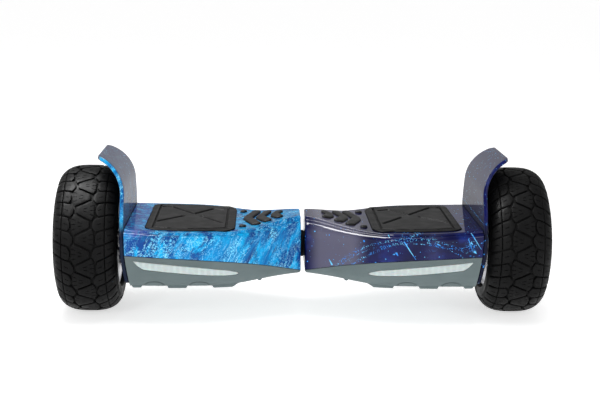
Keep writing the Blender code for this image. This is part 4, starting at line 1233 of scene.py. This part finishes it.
def pad_rubber():
    """Rubber of the foot pads, with painted shade down in its grooves."""
    m = moulded("pad_rubber", (0.008, 0.008, 0.0084), (0.013, 0.013, 0.0137), 0.52, 0.10, 0.0002)
    along = m.math("ABSOLUTE", m.axis(0))
    base = AXLE_Z + PAD_TOP_AT_MID - PAD_SLOPE * PAD_MID_X
    depth = m.math("SUBTRACT", m.times(along, PAD_SLOPE, base), m.axis(2))
    face = m.surface.inputs["Base Color"].links[0].from_socket
    # Painted shade: near-black where the surface lies below the pad's sloped top, in the grooves,
    # the panel line and the sunk border
    m.set(Base_Color=m.mix(m.ramp(depth, 0.0003, 0.0017), face, (0.0012, 0.0012, 0.0013)))
    m.set(Specular_IOR_Level=0.10)
    return m.material


def metal(name, colour, shade, roughness, scale, strength, brushed=(1.0, 1.0, 1.0)):
    """Metal with a cast or machined grain."""
    m = Shader(name)
    place = m.turned((0.0, 0.0, 0.0), brushed)
    grain = m.noise(scale, 4.0, 0.6, place)
    m.set(Base_Color=m.mix(grain, colour, shade), Metallic=1.0)
    wear = m.noise(scale / 4, 3.0, 0.5, place)
    m.set(Roughness=m.ramp(wear, 0.3, 0.7, roughness - 0.06, roughness + 0.08))
    m.bump(grain, 0.0002, strength)
    return m.material


def circuit():
    """Green solder mask over a maze of copper tracks."""
    m = Shader("solder_mask")
    line = m.dots(420.0, 0.10, 0.05, feature="DISTANCE_TO_EDGE", randomness=0.35)
    pads = m.dots(260.0, 0.22, 0.16, randomness=0.1)
    green = m.mix(line, (0.010, 0.085, 0.028), (0.018, 0.19, 0.06))
    m.set(Base_Color=m.mix(pads, green, (0.55, 0.52, 0.42)), Roughness=0.32, Coat_Weight=0.4)
    m.bump(m.math("ADD", line, pads), 0.0001, 0.5)
    return m.material


def shrink_wrap():
    """Shrink sleeve drawn tight over rows of round cells."""
    m = Shader("shrink_sleeve")
    rows = m.math("ABSOLUTE", m.math("SINE", m.times(m.axis(0), math.pi / CELL_PITCH)))
    creases = m.noise(60.0, 5.0, 0.65, m.turned((0.0, 0.0, 0.3), (0.35, 1.0, 1.0)), 0.6)
    m.set(Base_Color=m.mix(creases, (0.020, 0.060, 0.26), (0.040, 0.12, 0.40)))
    m.set(Roughness=m.ramp(creases, 0.3, 0.7, 0.22, 0.40), Coat_Weight=0.5, Coat_Roughness=0.15)
    m.bump(m.times(rows, 3.0, creases), 0.0008, 0.5)
    return m.material


def hub_silver():
    """Silver paint over a turned face, with faint tool rings round the axle."""
    m = Shader("hub_silver")
    flat = m.vector("MULTIPLY", m.place, (0.0, 1.0, 1.0))
    radius = m.vector("LENGTH", m.vector("SUBTRACT", flat, (0.0, 0.0, AXLE_Z)))
    rings = m.math("SINE", m.times(radius, math.tau / TOOL_RING_PITCH))
    flake = m.noise(1400.0, 2.0, 0.7)
    m.set(Base_Color=m.mix(flake, (0.40, 0.40, 0.43), (0.54, 0.54, 0.57)), Metallic=0.85)
    m.set(Roughness=m.ramp(m.noise(45.0, 3.0), 0.3, 0.7, 0.26, 0.40))
    m.bump(m.times(flake, 0.6, rings), 0.00006, 0.2)
    return m.material


def black_rubber():
    m = moulded("black_rubber", (0.009, 0.009, 0.0095), (0.015, 0.015, 0.016), 0.50, 0.10, 0.0002)
    m.set(Specular_IOR_Level=0.14)
    return m.material


GREYS = (0.098, 0.131, 0.135), (0.117, 0.154, 0.158)
BLACKS = (0.016, 0.016, 0.017), (0.026, 0.026, 0.027)
CAST = (0.46, 0.46, 0.48), (0.62, 0.62, 0.64)
STEELS = (0.36, 0.36, 0.37), (0.52, 0.52, 0.53)
BRONZES = (0.42, 0.25, 0.09), (0.58, 0.38, 0.16)
finishes = {
    "blue_print": water_print("water_print", 0.40),
    "night_print": night_print("night_print", 0.55),
    "grey_plastic": moulded("grey_plastic", *GREYS, 0.44, 0.10, 0.0002).material,
    "lens": lens_plastic(),
    "rubber": black_rubber(),
    "tyre": tyre_rubber(),
    "black_plastic": moulded("black_plastic", *BLACKS, 0.42, 0.12, 0.0002).material,
    "cast_aluminium": metal("cast_metal", *CAST, 0.46, 500.0, 0.5),
    "hub_metal": hub_silver(),
    "steel": metal("machined_steel", *STEELS, 0.28, 700.0, 0.2, (0.05, 1.0, 1.0)),
    "bronze": metal("sintered_bronze", *BRONZES, 0.38, 1200.0, 0.3),
    "circuit_board": circuit(),
    "battery_wrap": shrink_wrap(),
}

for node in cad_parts.values():
    for place in node.material_slots:
        place.material = finishes[place.material.name.split(".")[0]]


# ---------------------------------------------------------------- assembly


def finish(piece, slot, body, *nodes):
    piece.data.materials.clear()
    piece.data.materials.append(finishes[slot])
    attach(piece, body)
    if nodes:
        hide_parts(*nodes)


def both_sides(piece, slots, body, node=None, turn=False):
    """Finishes a right-hand piece and its left-hand twin. `slots` is one slot or one for each."""
    left = mirrored(piece, piece.name.replace("right_", "left_"), turn)
    slots = (slots, slots) if isinstance(slots, str) else slots
    for side, obj, slot in zip(("right", "left"), (piece, left), slots):
        finish(obj, slot, f"{side}_{body}", *([f"{side}_{node}"] if node else []))


def repaint(name, material):
    """Gives one piece its own version of its slot's material."""
    bpy.data.objects[name].data.materials[0] = material


PRINTS = ("night_print", "blue_print")
both_sides(make_top_cover(), PRINTS, "half", "top_cover")
both_sides(make_bottom_cover(), "grey_plastic", "half", "bottom_cover")
for well in WELLS:
    add_well(*well)
right_teeth = make_teeth()
put_in(bpy.data.objects["left_lower_shell"], mirrored(right_teeth, "left_teeth"))
put_in(bpy.data.objects["right_lower_shell"], right_teeth)
both_sides(make_guard(), PRINTS, "half", "fender")
# The fenders' own versions of the prints carry a painted reflection and painted shade
repaint("right_guard", night_print("night_print_guard_painted_light", 0.33, True))
repaint("left_guard", water_print("water_print_guard_painted_light", 0.38, True))
both_sides(make_lens(), "lens", "half", "light_lens")
both_sides(make_pad(), "rubber", "foot_pad", "foot_pad")
# Pad rubber with painted shade in its grooves
groove_shaded_rubber = pad_rubber()
for side in ("right", "left"):
    repaint(f"{side}_pad", groove_shaded_rubber)
both_sides(make_marks(), "rubber", "half", "arrow_pad")
both_sides(make_tyre(), "tyre", "wheel", "tyre", turn=True)
for side, word in ((-1, "inner"), (1, "outer")):
    plate, bolts = make_hub_cover(side, word)
    both_sides(plate, "hub_metal", "wheel", f"hub_{word}_cover")
    both_sides(bolts, "steel", "wheel")
finish(make_seal(), "rubber", "left_half", "pivot_dust_seal")
finish(make_button(), "black_plastic", "power_button", "power_button")
finish(make_port_cap(), "rubber", "charge_port_cap", "charge_port_cap")


# ---------------------------------------------------------------- studio and camera

FLOOR_REACH = 40.0
FLOOR_Z = -0.0002
WHITE = (1.0, 1.0, 1.0)
signs = ((-1, -1), (1, -1), (1, 1), (-1, 1))
corners = [(FLOOR_REACH * x, FLOOR_REACH * y, FLOOR_Z) for x, y in signs]
floor = solid("studio_floor", corners, [(0, 1, 2, 3)])
paper = Shader("studio_paper")
shades = [(grey, grey, grey) for grey in (0.90, 0.92)]
paper.set(Base_Color=paper.mix(paper.noise(3.0), *shades), Roughness=0.9)
paper.set(Specular_IOR_Level=0.1, Emission_Color=WHITE, Emission_Strength=0.60)
floor.data.materials.append(paper.material)

# White near the horizon, and dimmer overhead
world = bpy.data.worlds.new("studio")
world.use_nodes = True
sky = Shader.__new__(Shader)
sky.tree = world.node_tree
direction = sky.add("ShaderNodeTexCoord").outputs["Generated"]
glow = sky.ramp(sky.axis(2, direction), 0.04, 0.44, 1.0, 0.38)
sky.fill(sky.tree.nodes["Background"], {"Color": WHITE, "Strength": glow})
bpy.context.scene.world = world
bpy.context.scene.view_settings.view_transform = "Standard"


def softbox(name, place, target, size, power):
    light = bpy.data.lights.new(name, "AREA")
    light.shape = "RECTANGLE"
    light.size, light.size_y = size
    light.energy = power
    lamp = link(name, light)
    lamp.location = place
    aim = Vector(target) - Vector(place)
    lamp.rotation_euler = aim.to_track_quat("-Z", "Y").to_euler()
    return lamp


def facing_light(place, back, along):
    """A light's matrix: it shines away from `back`, with its long side near `along`."""
    back = back.normalized()
    across = along.cross(back).normalized()
    turn = Matrix((across, back.cross(across), back)).transposed().to_4x4()
    return Matrix.Translation(place) @ turn


# Lights: place, target, size and power. The strip only makes the gloss along the deck's edges
LIGHTS = {
    "overhead": ((-0.2, -0.2, 2.2), (0.0, 0.0, 0.0), (1.8, 0.8), 18.0),
    "high_left": ((-0.88, -0.08, 1.68), (0.05, -0.05, 0.12), (0.75, 1.20), 115.0),
    "front_left": ((-1.3, -2.2, 1.0), (0.0, 0.0, 0.1), (0.35, 1.3), 14.0),
    "front_right": ((1.5, -2.0, 1.0), (0.0, 0.0, 0.1), (0.35, 1.3), 7.0),
}
STRIP_BACK = Vector((-1.05, 0.03, 1.50))
STRIP_ALONG = Vector((0.55, 0.85, 0.38))
lamps = {name: softbox(name, *light) for name, light in LIGHTS.items()}
strip = lamps["high_left"]
strip.visible_diffuse = False
strip.matrix_world = facing_light(strip.location.copy(), STRIP_BACK, STRIP_ALONG)

CAMERA_PLACE = (-0.05845, -1.73488, 0.50867)
CAMERA_TURNS = ((-0.0316434, "Z"), (math.pi / 2 - 0.196953, "X"), (0.0115206, "Z"))
camera = link("camera", bpy.data.cameras.new("camera"))
camera.data.lens = 73.26
aim = Matrix.Translation(CAMERA_PLACE)
for angle, axis in CAMERA_TURNS:
    aim = aim @ Matrix.Rotation(angle, 4, axis)
camera.matrix_world = aim
bpy.context.scene.camera = camera
